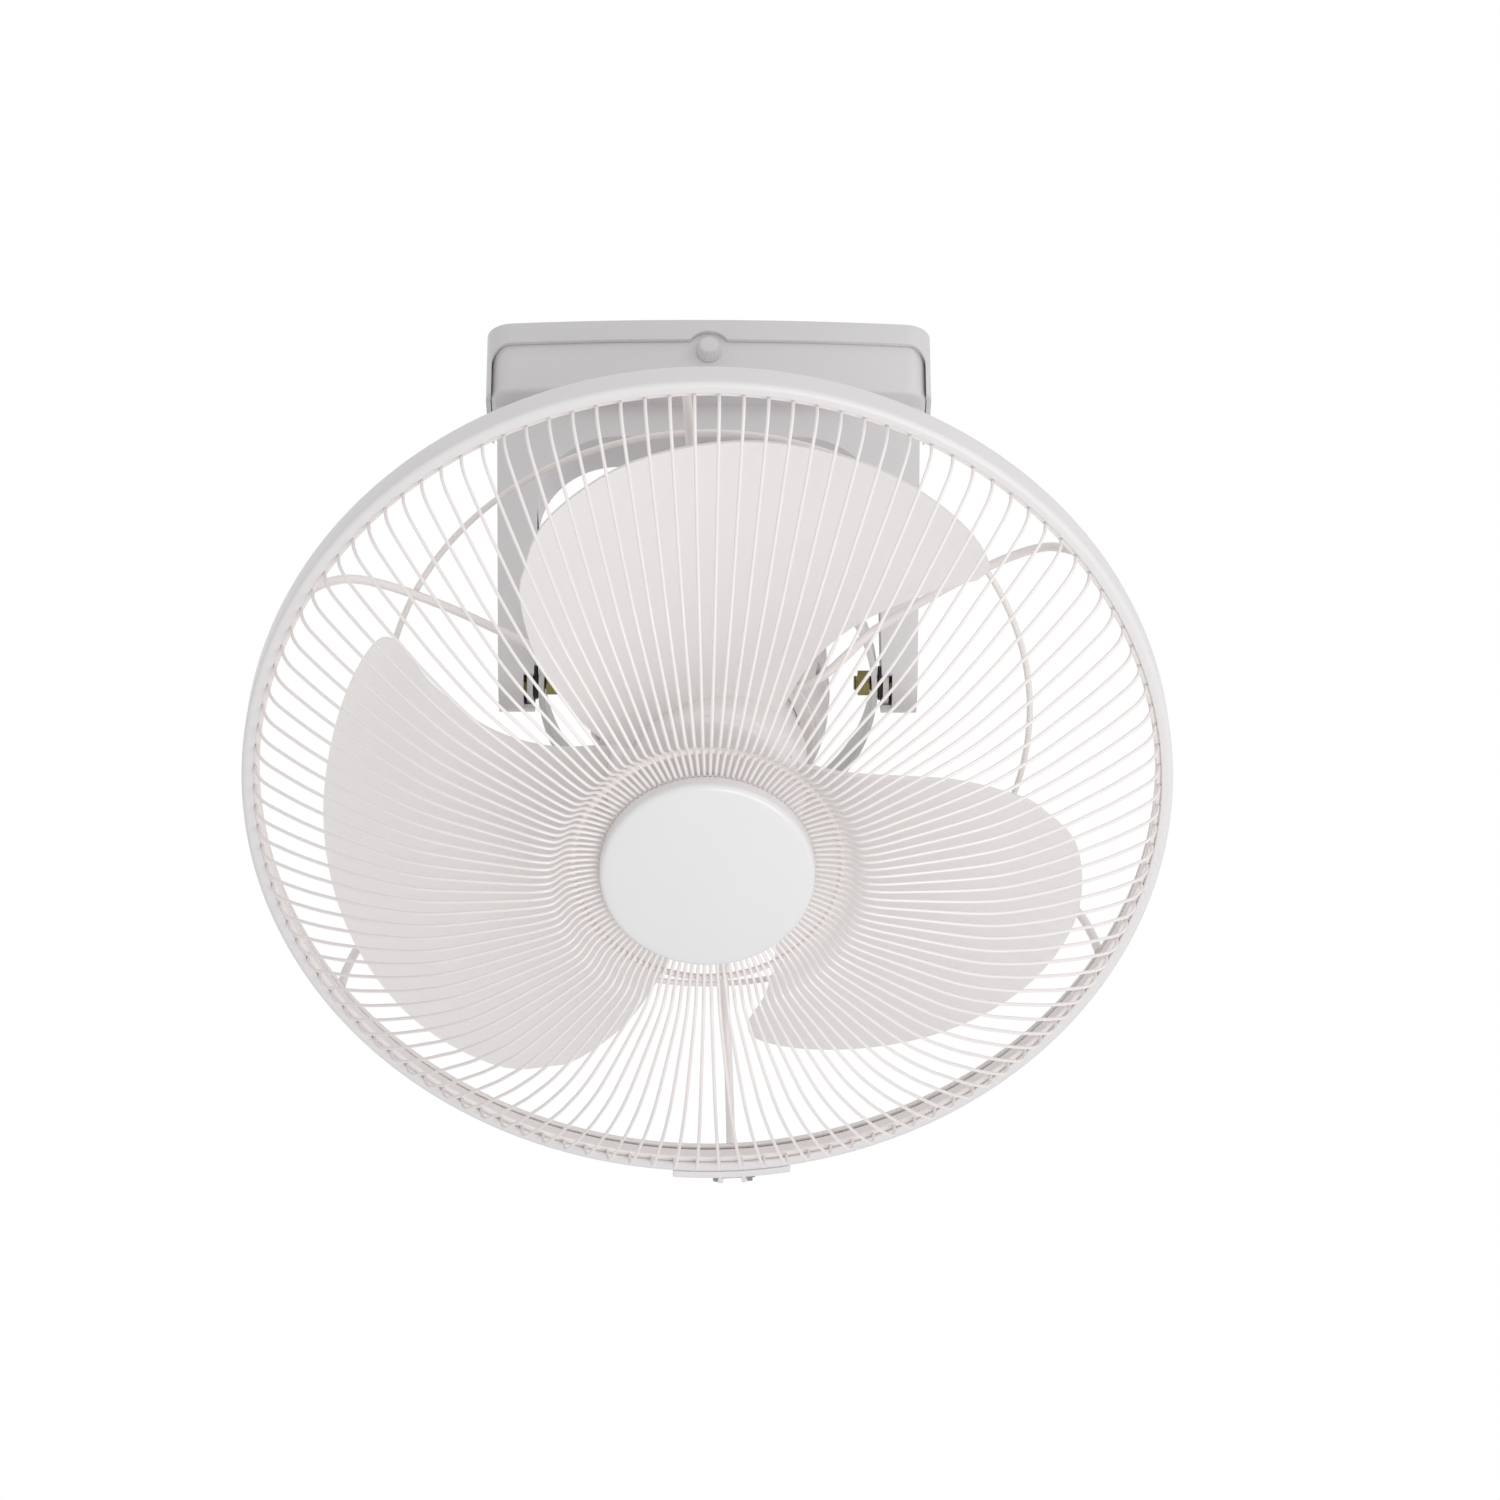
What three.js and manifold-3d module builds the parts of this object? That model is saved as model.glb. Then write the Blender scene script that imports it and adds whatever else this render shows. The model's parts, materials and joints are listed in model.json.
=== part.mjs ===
// Orbital ceiling fan: a caged fan on a gimbal ring, hung in a yoke under a ceiling pan.
// Millimetres, +Z up. The origin is the middle of the pan's top face, which lies on the ceiling.
// The fan head has a frame of its own: its origin is the gimbal centre, its +Z runs forward along
// the fan's shaft, +X is the world's +X and its angles count from +X towards +Y.
import * as THREE from "three";
import { mergeVertices } from "three/addons/utils/BufferGeometryUtils.js";
import Module from "manifold-3d";

const wasm = await Module();
wasm.setup();

// Pose and fits
const restTilt = 30; // degrees from straight down towards the front
const seatGap = 0.3; // between pieces that touch
const runningGap = 0.5; // between pieces that turn in each other
const boltRadius = 4; // M8
const hexAcross = 13; // spanner size of the M8 heads and nuts
const smallScrewRadius = 2; // M4

// Ceiling pan and body
const pivotDrop = 203.5; // ceiling to the gimbal centre
const panHalfWidth = 120;
const panHalfDepth = 32.5;
const panBow = 4; // how far the front edge bulges in plan
const panCornerRadius = 15;
const panSheet = 1.5;
const skirtHeight = 12.3;
const skirtPlay = 1.3; // between the skirt and the body inside it
const flapHeight = 40; // the skirt's flap down each end of the body
const flapStart = 3; // pan's end to the flap's front edge
const flapSweep = 9; // radius where the skirt turns down into a flap
const slotPitch = 116; // between the two ceiling screw slots
const slotWidth = 6;
const slotLength = 16;
const cableHoleRadius = 9;
const cableHolePlace = 34; // right of the middle
const bodyWall = 2.5;
const bodyEdge = 3; // rounding of the body's lower edge
const boxDepth = 41.5; // ceiling to the underside of the body's box
const yokeHalfTop = 114.5;
const yokeHalfBottom = 109.5;
const yokeHalfDepth = 15.7; // also the radius of the round leg ends
const legInner = 91; // inner edge of each leg
const archDrop = 61; // ceiling to the top of the arch
const archRadius = 43;
const legNotchWidth = 5.5;
const legNotchRise = 3; // below the pivot, where the leg's inner corner is cut away

// Steel fork and its pivots
const forkSheet = 3;
const forkHalfWidth = 12;
const forkBoltPlace = panHalfWidth * 0.65;
const pivotWasher = 2.2;
const pivotWasherRadius = 9;
const nutThickness = 6.2;
const headThickness = 5.2;
const boltTail = 2; // thread past the nut

// Thumb screw
const thumbDrop = 19; // ceiling to the screw's axis
const thumbBaseRadius = 6.8;
const thumbEndRadius = 5.2;
const thumbLength = 8;
const thumbRibs = 16;
const thumbRibDepth = 0.35;
const tongueHalfWidth = 12;
const tongueSheet = 2;

// Electrical pieces in the body
const terminalSize = [42, 16, 15];
const terminalPlace = -42;
const terminalWays = 4;
const terminalGroove = 1.6;
const capacitorSize = [38, 17, 27];
const capacitorPlace = 42;

// Gimbal ring and the orbit crank
const ringInner = 86;
const ringSheet = 3;
const ringHalfWidth = 10;
const strapSag = 0.8; // how far the curved strap comes inwards across a washer
const crankReach = 88; // gimbal centre to the middle of the crank's ball
const ballRadius = 5;
const ballPinRadius = 3;
const socketGap = 1; // the open pivot between the ball and its socket
const socketRadius = 11;
const socketHeight = 17;
const anchorStemRadius = 5;
const anchorFlangeRadius = 15;
const crankThickness = 3;

// Motor
const motorRadius = 63;
const motorRear = -35.5; // rear face
const coverWall = 2.5;
const shoulderRadius = 56.5; // where the rear guard is clamped
const shoulderPlace = 54;
const noseRadius = 47.5;
const motorFront = 67;
const shaftRadius = 5;
const bearingRadius = 13;
const bearingWidth = 8;
const bossRadius = 9.5; // the side bosses that carry the head in the ring
const statorOuter = 52.5;
const statorInner = 31;
const statorHalf = 14;
const statorPlace = 12; // middle of the core
const windingHeight = 12;
const airGap = 0.6;
const ventCount = 8;
const ventWidth = 6;
const ventLength = 15;
const coverScrews = 3;
const coverScrewRing = motorRadius - 5.5;
const coverScrewLength = 34;

// Gear case behind the motor
const gearCaseRadius = 31;
const gearCaseWall = 2;
const gearCaseDepth = 27;
const lidThickness = 2;
const wormRadius = 3.5;
const wheelRadius = 10;
const crossShaftRadius = 1.8;
const crossWormPlace = 17;
const crossWormRadius = 3;
const idlerRadius = 8.6;
const idlerWidth = 5;
const idlerPostRadius = 1.5;
const pinionRadius = 4.2;
const gearTeeth = 10;
const pinionTeeth = 6;
const outputTeeth = 12;
const toothDepth = 1.1;
const wormPitch = 4;
const gearGap = 0.3; // between the tips of two gears, which keeps them apart at every angle

// Blades
const bladeCount = 3;
const bladeStart = 38.5; // degrees, leading corner of the first blade
const bladeThickness = 2.2;
const bladeRadius = 203.2; // 16 inch sweep
const hubRadius = 51;
const hubRear = 76;
const hubFront = 116;
const hubWall = 2.5;
const hubBossRadius = 11;
const bladeNutRadius = 14;
const bladeNutLength = 15;

// Guards
const guardTurn = 3.2; // degrees, by which the guards' seam is turned from straight down
const bandRadius = 236;
const bandRear = 95;
const bandFront = 113.5;
const bandWall = 2;
const lipWidth = 5; // how far both lips of the band reach inwards
const bandShoulder = 3.5;
const rimWidth = 4;
const rimHeight = 3;
const wireCount = 120;
const wireRadius = 1;
const guardRingInner = 45;
const guardRingOuter = 55.5;
const guardRingSheet = 3.4;
const guardStep = 22.5; // radius from the guard's centre ring to the edge of its dome
const guardDepth = 77; // how far the dome stands out in front of the band
const supportRingRadius = 66;
const supportWireRadius = 1.6;
const spokeCount = 6;
const spokeRadius = 2.3;
const rearRingRadius = bandRadius * 0.71;
const rearWireRadius = 1.6;
const guardPlateSheet = 2;
const capRadius = 53.6;
const capRim = 8;
const capCrown = 3;
const capWall = 2;
const clipAngle = 15; // degrees that the band clip covers
const clipThickness = 4;
const clipLugHeight = 8;
const clipLugGap = 10;
const clipLugSheet = 2.5;

const radians = THREE.MathUtils.degToRad;

// ---- Geometry helpers ----

// A closed geometry as a solid that can be joined and cut, with its faces turned outwards.
function solid(geometry) {
  const bare = geometry.index ? geometry.toNonIndexed() : geometry.clone();
  for (const name of Object.keys(bare.attributes)) {
    if (name !== "position") bare.deleteAttribute(name);
  }
  const welded = mergeVertices(bare, 1e-4);
  const at = welded.attributes.position;
  const corners = [new THREE.Vector3(), new THREE.Vector3(), new THREE.Vector3()];
  const faces = [];
  let volume = 0;
  for (let i = 0; i < welded.index.count; i += 3) {
    const face = [0, 1, 2].map((k) => welded.index.getX(i + k));
    if (face[0] === face[1] || face[1] === face[2] || face[2] === face[0]) continue;
    corners.forEach((corner, k) => corner.fromBufferAttribute(at, face[k]));
    volume += corners[0].dot(corners[1].clone().cross(corners[2]));
    faces.push(face);
  }
  if (volume < 0) faces.forEach((face) => face.reverse());
  const triVerts = new Uint32Array(faces.flat());
  const vertProperties = new Float32Array(at.array);
  return new wasm.Manifold(new wasm.Mesh({ numProp: 3, vertProperties, triVerts }));
}

function join(solids) {
  return solids.reduce((whole, next) => whole.add(next));
}

function cut(whole, tools) {
  return tools.reduce((left, tool) => left.subtract(tool), whole);
}

// A prism: a flat outline raised along Z from one height to another.
function prism(outline, bottom, top, curveSegments = 8) {
  const options = { depth: top - bottom, bevelEnabled: false, curveSegments };
  return new THREE.ExtrudeGeometry(outline, options).translate(0, 0, bottom);
}

function polygon(points) {
  return new THREE.Shape(points.map(([x, y]) => new THREE.Vector2(x, y)));
}

// A body turned about Z from a closed half profile of [radius, height] points.
function turned(profile, segments = 24) {
  const points = profile.map(([r, z]) => new THREE.Vector2(r, z));
  if (profile[0][0] > 0 || profile.at(-1)[0] > 0) points.push(points[0].clone());
  return new THREE.LatheGeometry(points, segments).rotateX(Math.PI / 2);
}

function rod(radius, bottom, top, sides = 12) {
  const rodShape = new THREE.CylinderGeometry(radius, radius, top - bottom, sides);
  return rodShape.rotateX(Math.PI / 2).translate(0, 0, (bottom + top) / 2);
}

function hexagon(across, bottom, top) {
  return rod(across / Math.sqrt(3), bottom, top, 6);
}

function box(low, high) {
  const size = high.map((value, i) => value - low[i]);
  const middle = high.map((value, i) => (value + low[i]) / 2);
  return new THREE.BoxGeometry(...size).translate(...middle);
}

// Turn a shape made along Z to lie along X or Y.
const alongX = (geometry) => geometry.rotateY(Math.PI / 2);
const alongY = (geometry) => geometry.rotateX(-Math.PI / 2);

// A path that passes straight from one chosen point to the next, with a ring at every point.
class PointPath extends THREE.Curve {
  constructor(points) {
    super();
    this.points = points;
  }
  getPoint(t, target = new THREE.Vector3()) {
    const place = Math.min(Math.max(t, 0), 1) * (this.points.length - 1);
    const first = Math.min(Math.floor(place), this.points.length - 2);
    return target.lerpVectors(this.points[first], this.points[first + 1], place - first);
  }
  getPointAt(u, target) {
    return this.getPoint(u, target);
  }
  getTangentAt(u, target) {
    return this.getTangent(u, target);
  }
}

// A round wire along points, closed at both ends.
function wire(points, radius, sides) {
  const section = new THREE.Shape();
  for (let i = 0; i < sides; i++) {
    const angle = (i / sides) * 2 * Math.PI;
    const [x, y] = [radius * Math.cos(angle), radius * Math.sin(angle)];
    if (i === 0) section.moveTo(x, y);
    else section.lineTo(x, y);
  }
  const extrudePath = new PointPath(points);
  return new THREE.ExtrudeGeometry(section, { steps: points.length - 1, extrudePath });
}

// A point of the head's frame from its radius, height along the shaft and angle in degrees.
function polar([radius, height], angle) {
  const turn = radians(angle);
  return new THREE.Vector3(radius * Math.cos(turn), radius * Math.sin(turn), height);
}

// A smooth curve through [position, value] stations.
function through(stations) {
  const line = new THREE.SplineCurve(stations.map(([x, y]) => new THREE.Vector2(x, y)));
  return (position) => {
    let [low, high] = [0, 1];
    for (let i = 0; i < 24; i++) {
      const middle = (low + high) / 2;
      if (line.getPoint(middle).x < position) low = middle;
      else high = middle;
    }
    return line.getPoint((low + high) / 2).y;
  };
}

// A gear outline with straight-sided teeth inside its outer radius.
function gearOutline(radius, teeth, depth) {
  const points = [];
  for (let i = 0; i < teeth * 4; i++) {
    const angle = ((i + 0.5) / (teeth * 4)) * 2 * Math.PI;
    const reach = i % 4 < 2 ? radius : radius - depth;
    points.push([reach * Math.cos(angle), reach * Math.sin(angle)]);
  }
  return polygon(points);
}

// A screw or bolt along +Z: its hexagon or round head ends at zero and its shank runs on from there.
function bolt({ radius, length, head, across, round = 0 }) {
  const headShape = round ? rod(round, -head, 0, 12) : hexagon(across, -head, 0);
  return join([solid(headShape), solid(rod(radius, -0.5, length, 10))]);
}

// ---- Materials ----

function finish(color, roughness, metalness = 0) {
  return new THREE.MeshStandardMaterial({ color, roughness, metalness });
}

const paintedSteel = () => finish(0xe9e8ea, 0.45);
const whitePlastic = () => finish(0xe6e5e8, 0.4);
const bladePlastic = () => finish(0xeeeae9, 0.32);
const coatedWire = () => finish(0xf1ece8, 0.38);
const zincYellow = () => finish(0x9a8c4a, 0.35, 0.8);
const bareSteel = () => finish(0x9fa2a6, 0.35, 0.9);
const blackPlastic = () => finish(0x1c1d1f, 0.5);
const castAluminium = () => finish(0xc9cace, 0.45, 0.3);
const siliconSteel = () => finish(0x5d6066, 0.5, 0.7);
const copper = () => finish(0xb0642f, 0.4, 0.8);
const acetal = () => finish(0xf0eee6, 0.45);

function addNode(group, name, shape, material) {
  const { vertProperties, triVerts } = shape.getMesh();
  const geometry = new THREE.BufferGeometry();
  geometry.setAttribute("position", new THREE.BufferAttribute(new Float32Array(vertProperties), 3));
  geometry.setIndex(new THREE.BufferAttribute(new Uint32Array(triVerts), 1));
  geometry.computeVertexNormals();
  const mesh = new THREE.Mesh(geometry, material);
  mesh.name = name;
  group.add(mesh);
}

const fan = new THREE.Group();
const head = new THREE.Group();
head.position.set(0, 0, -pivotDrop);
head.rotation.x = Math.PI - radians(restTilt);
fan.add(head);

// ---- Ceiling pan and body ----

const bodyInset = panSheet + skirtPlay;
const boxHalfWidth = panHalfWidth - bodyInset;
const boxTop = -panSheet - seatGap;
const yokeFoot = -pivotDrop - yokeHalfDepth;

// A plan outline with round corners and a slightly bulging front edge.
function planOutline(inset) {
  const [x, y] = [panHalfWidth - inset, panHalfDepth - inset];
  const r = Math.max(panCornerRadius - inset, 1);
  const outline = new THREE.Shape();
  outline.moveTo(-x + r, -y);
  outline.quadraticCurveTo(0, -y - 2 * panBow, x - r, -y);
  outline.absarc(x - r, -y + r, r, -Math.PI / 2, 0);
  outline.absarc(x - r, y - r, r, 0, Math.PI / 2);
  outline.absarc(-x + r, y - r, r, Math.PI / 2, Math.PI);
  outline.absarc(-x + r, -y + r, r, Math.PI, 1.5 * Math.PI);
  return outline;
}

// The front face of the body at the middle, where the thumb screw sits.
const boxFront = -(panHalfDepth - bodyInset) - panBow;
const tongueBack = boxFront + bodyWall + seatGap + tongueSheet;

function slot(x) {
  const outline = new THREE.Shape();
  const reach = (slotLength - slotWidth) / 2;
  outline.absarc(x, reach, slotWidth / 2, 0, Math.PI);
  outline.absarc(x, -reach, slotWidth / 2, Math.PI, 2 * Math.PI);
  return solid(prism(outline, -2 * panSheet, panSheet, 5));
}

// The part of the skirt's front and back that is cut away between its two end flaps.
function flapCut() {
  const [x, foot] = [panHalfWidth - flapStart, -flapHeight - 1];
  const outline = new THREE.Shape();
  outline.moveTo(-x, foot);
  outline.lineTo(x, foot);
  outline.absarc(x - flapSweep, -skirtHeight - flapSweep, flapSweep, 0, Math.PI / 2);
  outline.absarc(-x + flapSweep, -skirtHeight - flapSweep, flapSweep, Math.PI / 2, Math.PI);
  return solid(prism(outline, -panHalfWidth, panHalfWidth, 6).rotateX(Math.PI / 2));
}

function ceilingPan() {
  const shell = solid(prism(planOutline(0), -flapHeight, 0, 5));
  const hollow = solid(prism(planOutline(panSheet), -flapHeight - 1, -panSheet, 5));
  const tongueLow = [-tongueHalfWidth, tongueBack - tongueSheet, -thumbDrop - smallScrewRadius * 3];
  const tongue = solid(box(tongueLow, [tongueHalfWidth, tongueBack, -panSheet / 2]));
  const notch = alongY(rod(tongueHalfWidth, -panHalfWidth, 0, 24)).translate(0, 0, -thumbDrop);
  const screwHole = rod(smallScrewRadius + seatGap, -tongueSheet, tongueSheet, 12);
  const tapped = solid(alongY(screwHole).translate(0, tongueBack - tongueSheet / 2, -thumbDrop));
  const cableWay = rod(cableHoleRadius, -2 * panSheet, panSheet, 20);
  const cableHole = solid(cableWay.translate(cableHolePlace, 0, 0));
  const boltHole = rod(boltRadius + seatGap, -2 * panSheet, panSheet, 12);
  const boltHoles = [-1, 1].map((side) => {
    return solid(boltHole.clone().translate(side * forkBoltPlace, 0, 0));
  });
  const openings = [slot(-slotPitch / 2), slot(slotPitch / 2), cableHole, ...boltHoles];
  const pan = cut(shell, [hollow, flapCut(), solid(notch), ...openings]);
  return cut(pan.add(tongue), [tapped]);
}

// The yoke's front outline, drawn in with an inset, without its arch.
function yokeOutline(inset) {
  const [top, bottom] = [-boxDepth / 2, yokeFoot + inset];
  return polygon([
    [-yokeHalfTop + inset, top],
    [-yokeHalfBottom + inset, bottom],
    [yokeHalfBottom - inset, bottom],
    [yokeHalfTop - inset, top],
  ]);
}

// The yoke seen from the side: flat front and back, and a round end about the pivots.
function sideOutline(radius) {
  const outline = new THREE.Shape();
  outline.moveTo(radius, 0);
  outline.lineTo(-radius, 0);
  outline.lineTo(-radius, -pivotDrop);
  outline.absarc(0, -pivotDrop, radius, Math.PI, 2 * Math.PI);
  return outline;
}

// A block of the yoke: its front outline, kept inside its side outline.
function yokeBlock(inset) {
  const radius = yokeHalfDepth - inset;
  const front = prism(yokeOutline(inset), -radius, radius).rotateX(Math.PI / 2);
  const side = prism(sideOutline(radius), -panHalfWidth, panHalfWidth, 10);
  return solid(front).intersect(solid(side.rotateX(Math.PI / 2).rotateZ(Math.PI / 2)));
}

// The arch between the legs, as a block through the yoke, grown on all sides.
function archBlock(growth) {
  const [x, top] = [legInner - archRadius, -archDrop - archRadius];
  const radius = archRadius + growth;
  const outline = new THREE.Shape();
  outline.moveTo(-x - radius, yokeFoot * 2);
  outline.lineTo(x + radius, yokeFoot * 2);
  outline.absarc(x, top, radius, 0, Math.PI / 2);
  outline.absarc(-x, top, radius, Math.PI / 2, Math.PI);
  return solid(prism(outline, -panHalfDepth, panHalfDepth, 9).rotateX(Math.PI / 2));
}

// The yoke's hollow, which leaves a wall over the arch but is open to the fork's legs.
function yokeHollow() {
  const reach = [legInner, panHalfDepth, pivotDrop * 2];
  const betweenLegs = solid(box(reach.map((value) => -value), reach));
  return yokeBlock(bodyWall).subtract(archBlock(bodyWall).intersect(betweenLegs));
}

function bodyShell() {
  const rounding = { bevelThickness: bodyEdge, bevelSize: bodyEdge, bevelOffset: -bodyEdge };
  const options = { depth: boxDepth + boxTop - 2 * bodyEdge, bevelSegments: 1, curveSegments: 5 };
  const slab = new THREE.ExtrudeGeometry(planOutline(bodyInset), { ...options, ...rounding });
  const outer = solid(slab.translate(0, 0, -boxDepth + bodyEdge)).add(yokeBlock(0));
  const boxHollow = solid(prism(planOutline(bodyInset + bodyWall), -boxDepth + bodyWall, 1, 4));
  const stemHole = solid(rod(anchorStemRadius + runningGap, -archDrop * 1.5, -boxDepth, 16));
  const notchLow = [legInner - 1, -yokeHalfDepth * 2, yokeFoot - 1];
  const notchHigh = [legInner + legNotchWidth, 0, -pivotDrop - legNotchRise];
  const notches = [box(notchLow, notchHigh), box(notchLow, notchHigh).scale(-1, 1, 1)];
  const screwHole = rod(smallScrewRadius + seatGap, boxFront - 1, boxFront + 2 * bodyWall, 12);
  const hole = solid(alongY(screwHole).translate(0, 0, -thumbDrop));
  return cut(outer, [boxHollow, yokeHollow(), archBlock(0), stemHole, ...notches.map(solid), hole]);
}

addNode(fan, "ceiling_pan", ceilingPan(), paintedSteel());
addNode(fan, "body_shell", bodyShell(), whitePlastic());

// ---- Thumb screw ----

function thumbScrew() {
  const outline = gearOutline(1, thumbRibs, thumbRibDepth / thumbBaseRadius);
  const knob = prism(outline, 0, thumbLength);
  const at = knob.attributes.position;
  for (let i = 0; i < at.count; i++) {
    const share = at.getZ(i) / thumbLength;
    const radius = THREE.MathUtils.lerp(thumbEndRadius, thumbBaseRadius, share);
    at.setXY(i, at.getX(i) * radius, at.getY(i) * radius);
  }
  const shankEnd = thumbLength + bodyWall + tongueSheet + 3 * seatGap;
  const screw = join([solid(knob), solid(rod(smallScrewRadius, thumbLength / 2, shankEnd, 12))]);
  const front = boxFront - thumbLength - seatGap;
  return screw.rotate([-90, 0, 0]).translate([0, front, -thumbDrop]);
}

addNode(fan, "thumb_screw", thumbScrew(), whitePlastic());

// ---- Steel fork, its bolts and the electrical pieces ----

const strapOuter = ringInner + ringSheet;
const washerInner = strapOuter + seatGap;
const forkInner = washerInner + pivotWasher + seatGap;
const forkOuter = forkInner + forkSheet;
const forkTop = boxTop - seatGap;
const forkUnder = forkTop - forkSheet;

function steelFork() {
  const bar = solid(box([-forkOuter, -forkHalfWidth, forkUnder], [forkOuter, forkHalfWidth, forkTop]));
  const leg = new THREE.Shape();
  leg.moveTo(forkHalfWidth, forkTop);
  leg.lineTo(-forkHalfWidth, forkTop);
  leg.lineTo(-forkHalfWidth, -pivotDrop);
  leg.absarc(0, -pivotDrop, forkHalfWidth, Math.PI, 2 * Math.PI);
  const legs = [-forkOuter, forkInner].map((start) => {
    const plate = prism(leg, start, start + forkSheet, 10);
    return solid(plate.rotateX(Math.PI / 2).rotateZ(Math.PI / 2));
  });
  const pivotHole = alongX(rod(boltRadius + seatGap, -panHalfWidth, panHalfWidth, 16));
  const boltHole = rod(boltRadius + seatGap, forkUnder - 1, forkTop + 1, 12);
  const boltHoles = [-1, 1].map((side) => {
    return solid(boltHole.clone().translate(side * forkBoltPlace, 0, 0));
  });
  return cut(join([bar, ...legs]), [solid(pivotHole.translate(0, 0, -pivotDrop)), ...boltHoles]);
}

addNode(fan, "steel_fork", steelFork(), paintedSteel());

const nutOuter = ringInner - strapSag - seatGap;
const nutInner = nutOuter - nutThickness;
const forkBoltLength = -forkUnder + seatGap;

for (const [side, sign] of [["left", -1], ["right", 1]]) {
  const toSide = (shape) => shape.rotate([0, 90 * sign, 0]).translate([0, 0, -pivotDrop]);
  const headSeat = forkOuter + seatGap;
  const shank = { radius: boltRadius, head: headThickness, across: hexAcross };
  const length = headSeat - nutInner + boltTail;
  const pivotBolt = bolt({ ...shank, length }).rotate([180, 0, 0]).translate([0, 0, headSeat]);
  addNode(fan, `pivot_bolt_${side}`, toSide(pivotBolt), zincYellow());
  const bore = solid(rod(boltRadius + seatGap, 0, panHalfWidth));
  const washer = solid(rod(pivotWasherRadius, washerInner, washerInner + pivotWasher, 14)).subtract(bore);
  addNode(fan, `pivot_washer_${side}`, toSide(washer), blackPlastic());
  const nut = solid(hexagon(hexAcross, nutInner, nutOuter)).subtract(bore);
  addNode(fan, `pivot_nut_${side}`, toSide(nut), zincYellow());
  const forkBolt = bolt({ ...shank, length: forkBoltLength });
  const forkBoltSeat = [sign * forkBoltPlace, 0, forkUnder - seatGap];
  addNode(fan, `fork_bolt_${side}`, forkBolt.translate(forkBoltSeat), bareSteel());
}

const hangTop = forkUnder - seatGap;

// A box hung under the fork's bar.
function hung([length, width, height], place) {
  const [x, y] = [length / 2, width / 2];
  return solid(box([place - x, -y, hangTop - height], [place + x, y, hangTop]));
}

function terminalBlock() {
  const [length, width, height] = terminalSize;
  const pitch = length / terminalWays;
  const grooves = [];
  const screws = [];
  const foot = hangTop - height - 1;
  for (let i = 0; i < terminalWays; i++) {
    const x = terminalPlace - length / 2 + pitch * (i + 0.5);
    const bore = rod(pitch * 0.28, foot, hangTop - height / 2, 10);
    screws.push(solid(bore.translate(x, 0, 0)));
    if (i === 0) continue;
    const low = [x - pitch / 2 - terminalGroove / 2, -width, foot];
    const high = [low[0] + terminalGroove, width, hangTop - height * 0.6];
    grooves.push(solid(box(low, high)));
  }
  return cut(hung(terminalSize, terminalPlace), [...grooves, ...screws]);
}

addNode(fan, "terminal_block", terminalBlock(), whitePlastic());
addNode(fan, "capacitor", hung(capacitorSize, capacitorPlace), blackPlastic());

// The fixed cup that the crank's ball turns in, on a stem from the fork's bar.
function orbitAnchor() {
  const cupRadius = ballRadius + socketGap;
  const cupFoot = crankReach - pivotDrop + ballRadius + socketGap;
  const cupRoof = cupFoot + socketHeight;
  return solid(
    turned([
      [0, cupFoot + cupRadius / 2],
      [cupRadius * 0.8, cupFoot + cupRadius / 3],
      [cupRadius, cupFoot],
      [socketRadius, cupFoot],
      [socketRadius, cupRoof - 2],
      [anchorStemRadius, cupRoof + 2],
      [anchorStemRadius, hangTop - forkSheet],
      [anchorFlangeRadius, hangTop - forkSheet],
      [anchorFlangeRadius, hangTop],
      [0, hangTop],
    ], 16),
  );
}

addNode(fan, "orbit_anchor", orbitAnchor(), bareSteel());

// ---- Gimbal ring: carried on the X axis, and carrying the head on its own Y axis ----

function gimbalRing() {
  const profile = [
    [ringInner, -ringHalfWidth],
    [strapOuter, -ringHalfWidth],
    [strapOuter, ringHalfWidth],
    [ringInner, ringHalfWidth],
  ];
  const hole = rod(boltRadius + seatGap, -strapOuter - 1, strapOuter + 1);
  const holes = [solid(alongX(hole.clone())), solid(alongY(hole))];
  return cut(solid(turned(profile, 36)), holes);
}

addNode(head, "gimbal_ring", gimbalRing(), paintedSteel());

const bossEnd = ringInner - strapSag - seatGap - pivotWasher - seatGap;
const bossRoot = motorRadius - coverWall;

for (const [side, sign] of [["upper", 1], ["lower", -1]]) {
  const toSide = (shape) => shape.rotate([-90 * sign, 0, 0]);
  const headSeat = strapOuter + seatGap;
  const length = headSeat - bossRoot;
  const shank = { radius: boltRadius, head: headThickness, across: hexAcross };
  const pin = bolt({ ...shank, length }).rotate([180, 0, 0]).translate([0, 0, headSeat]);
  addNode(head, `ring_pin_${side}`, toSide(pin), zincYellow());
  const bore = solid(rod(boltRadius + seatGap, 0, strapOuter));
  const washerSeat = bossEnd + seatGap;
  const disc = solid(rod(pivotWasherRadius, washerSeat, washerSeat + pivotWasher, 14));
  const washer = disc.subtract(bore);
  addNode(head, `ring_washer_${side}`, toSide(washer), blackPlastic());
}

// ---- Motor ----

const coverJoint = bossRadius + 2; // height of the split between the two covers
const shaftBore = shaftRadius + runningGap;
const bearingSeat = bearingRadius + seatGap;

// Slots cut through a cover's side, each one turned about the shaft.
function vents(middle, count, skip = () => false) {
  const cuts = [];
  for (let i = 0; i < count; i++) {
    const angle = ((i + 0.5) / count) * 360;
    if (skip(angle)) continue;
    const low = [motorRadius * 0.8, -ventWidth / 2, middle - ventLength / 2];
    const slit = box(low, [motorRadius * 1.2, ventWidth / 2, middle + ventLength / 2]);
    cuts.push(solid(slit.rotateZ(radians(angle))));
  }
  return cuts;
}

// The screws that hold the two covers together, and the depth of their heads' seats.
const screwSeat = 14;
const screwAngles = Array.from({ length: coverScrews }, (_, i) => ((i + 0.5) / coverScrews) * 360);
const screwSpots = screwAngles.map((angle) => polar([coverScrewRing, 0], angle));

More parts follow.
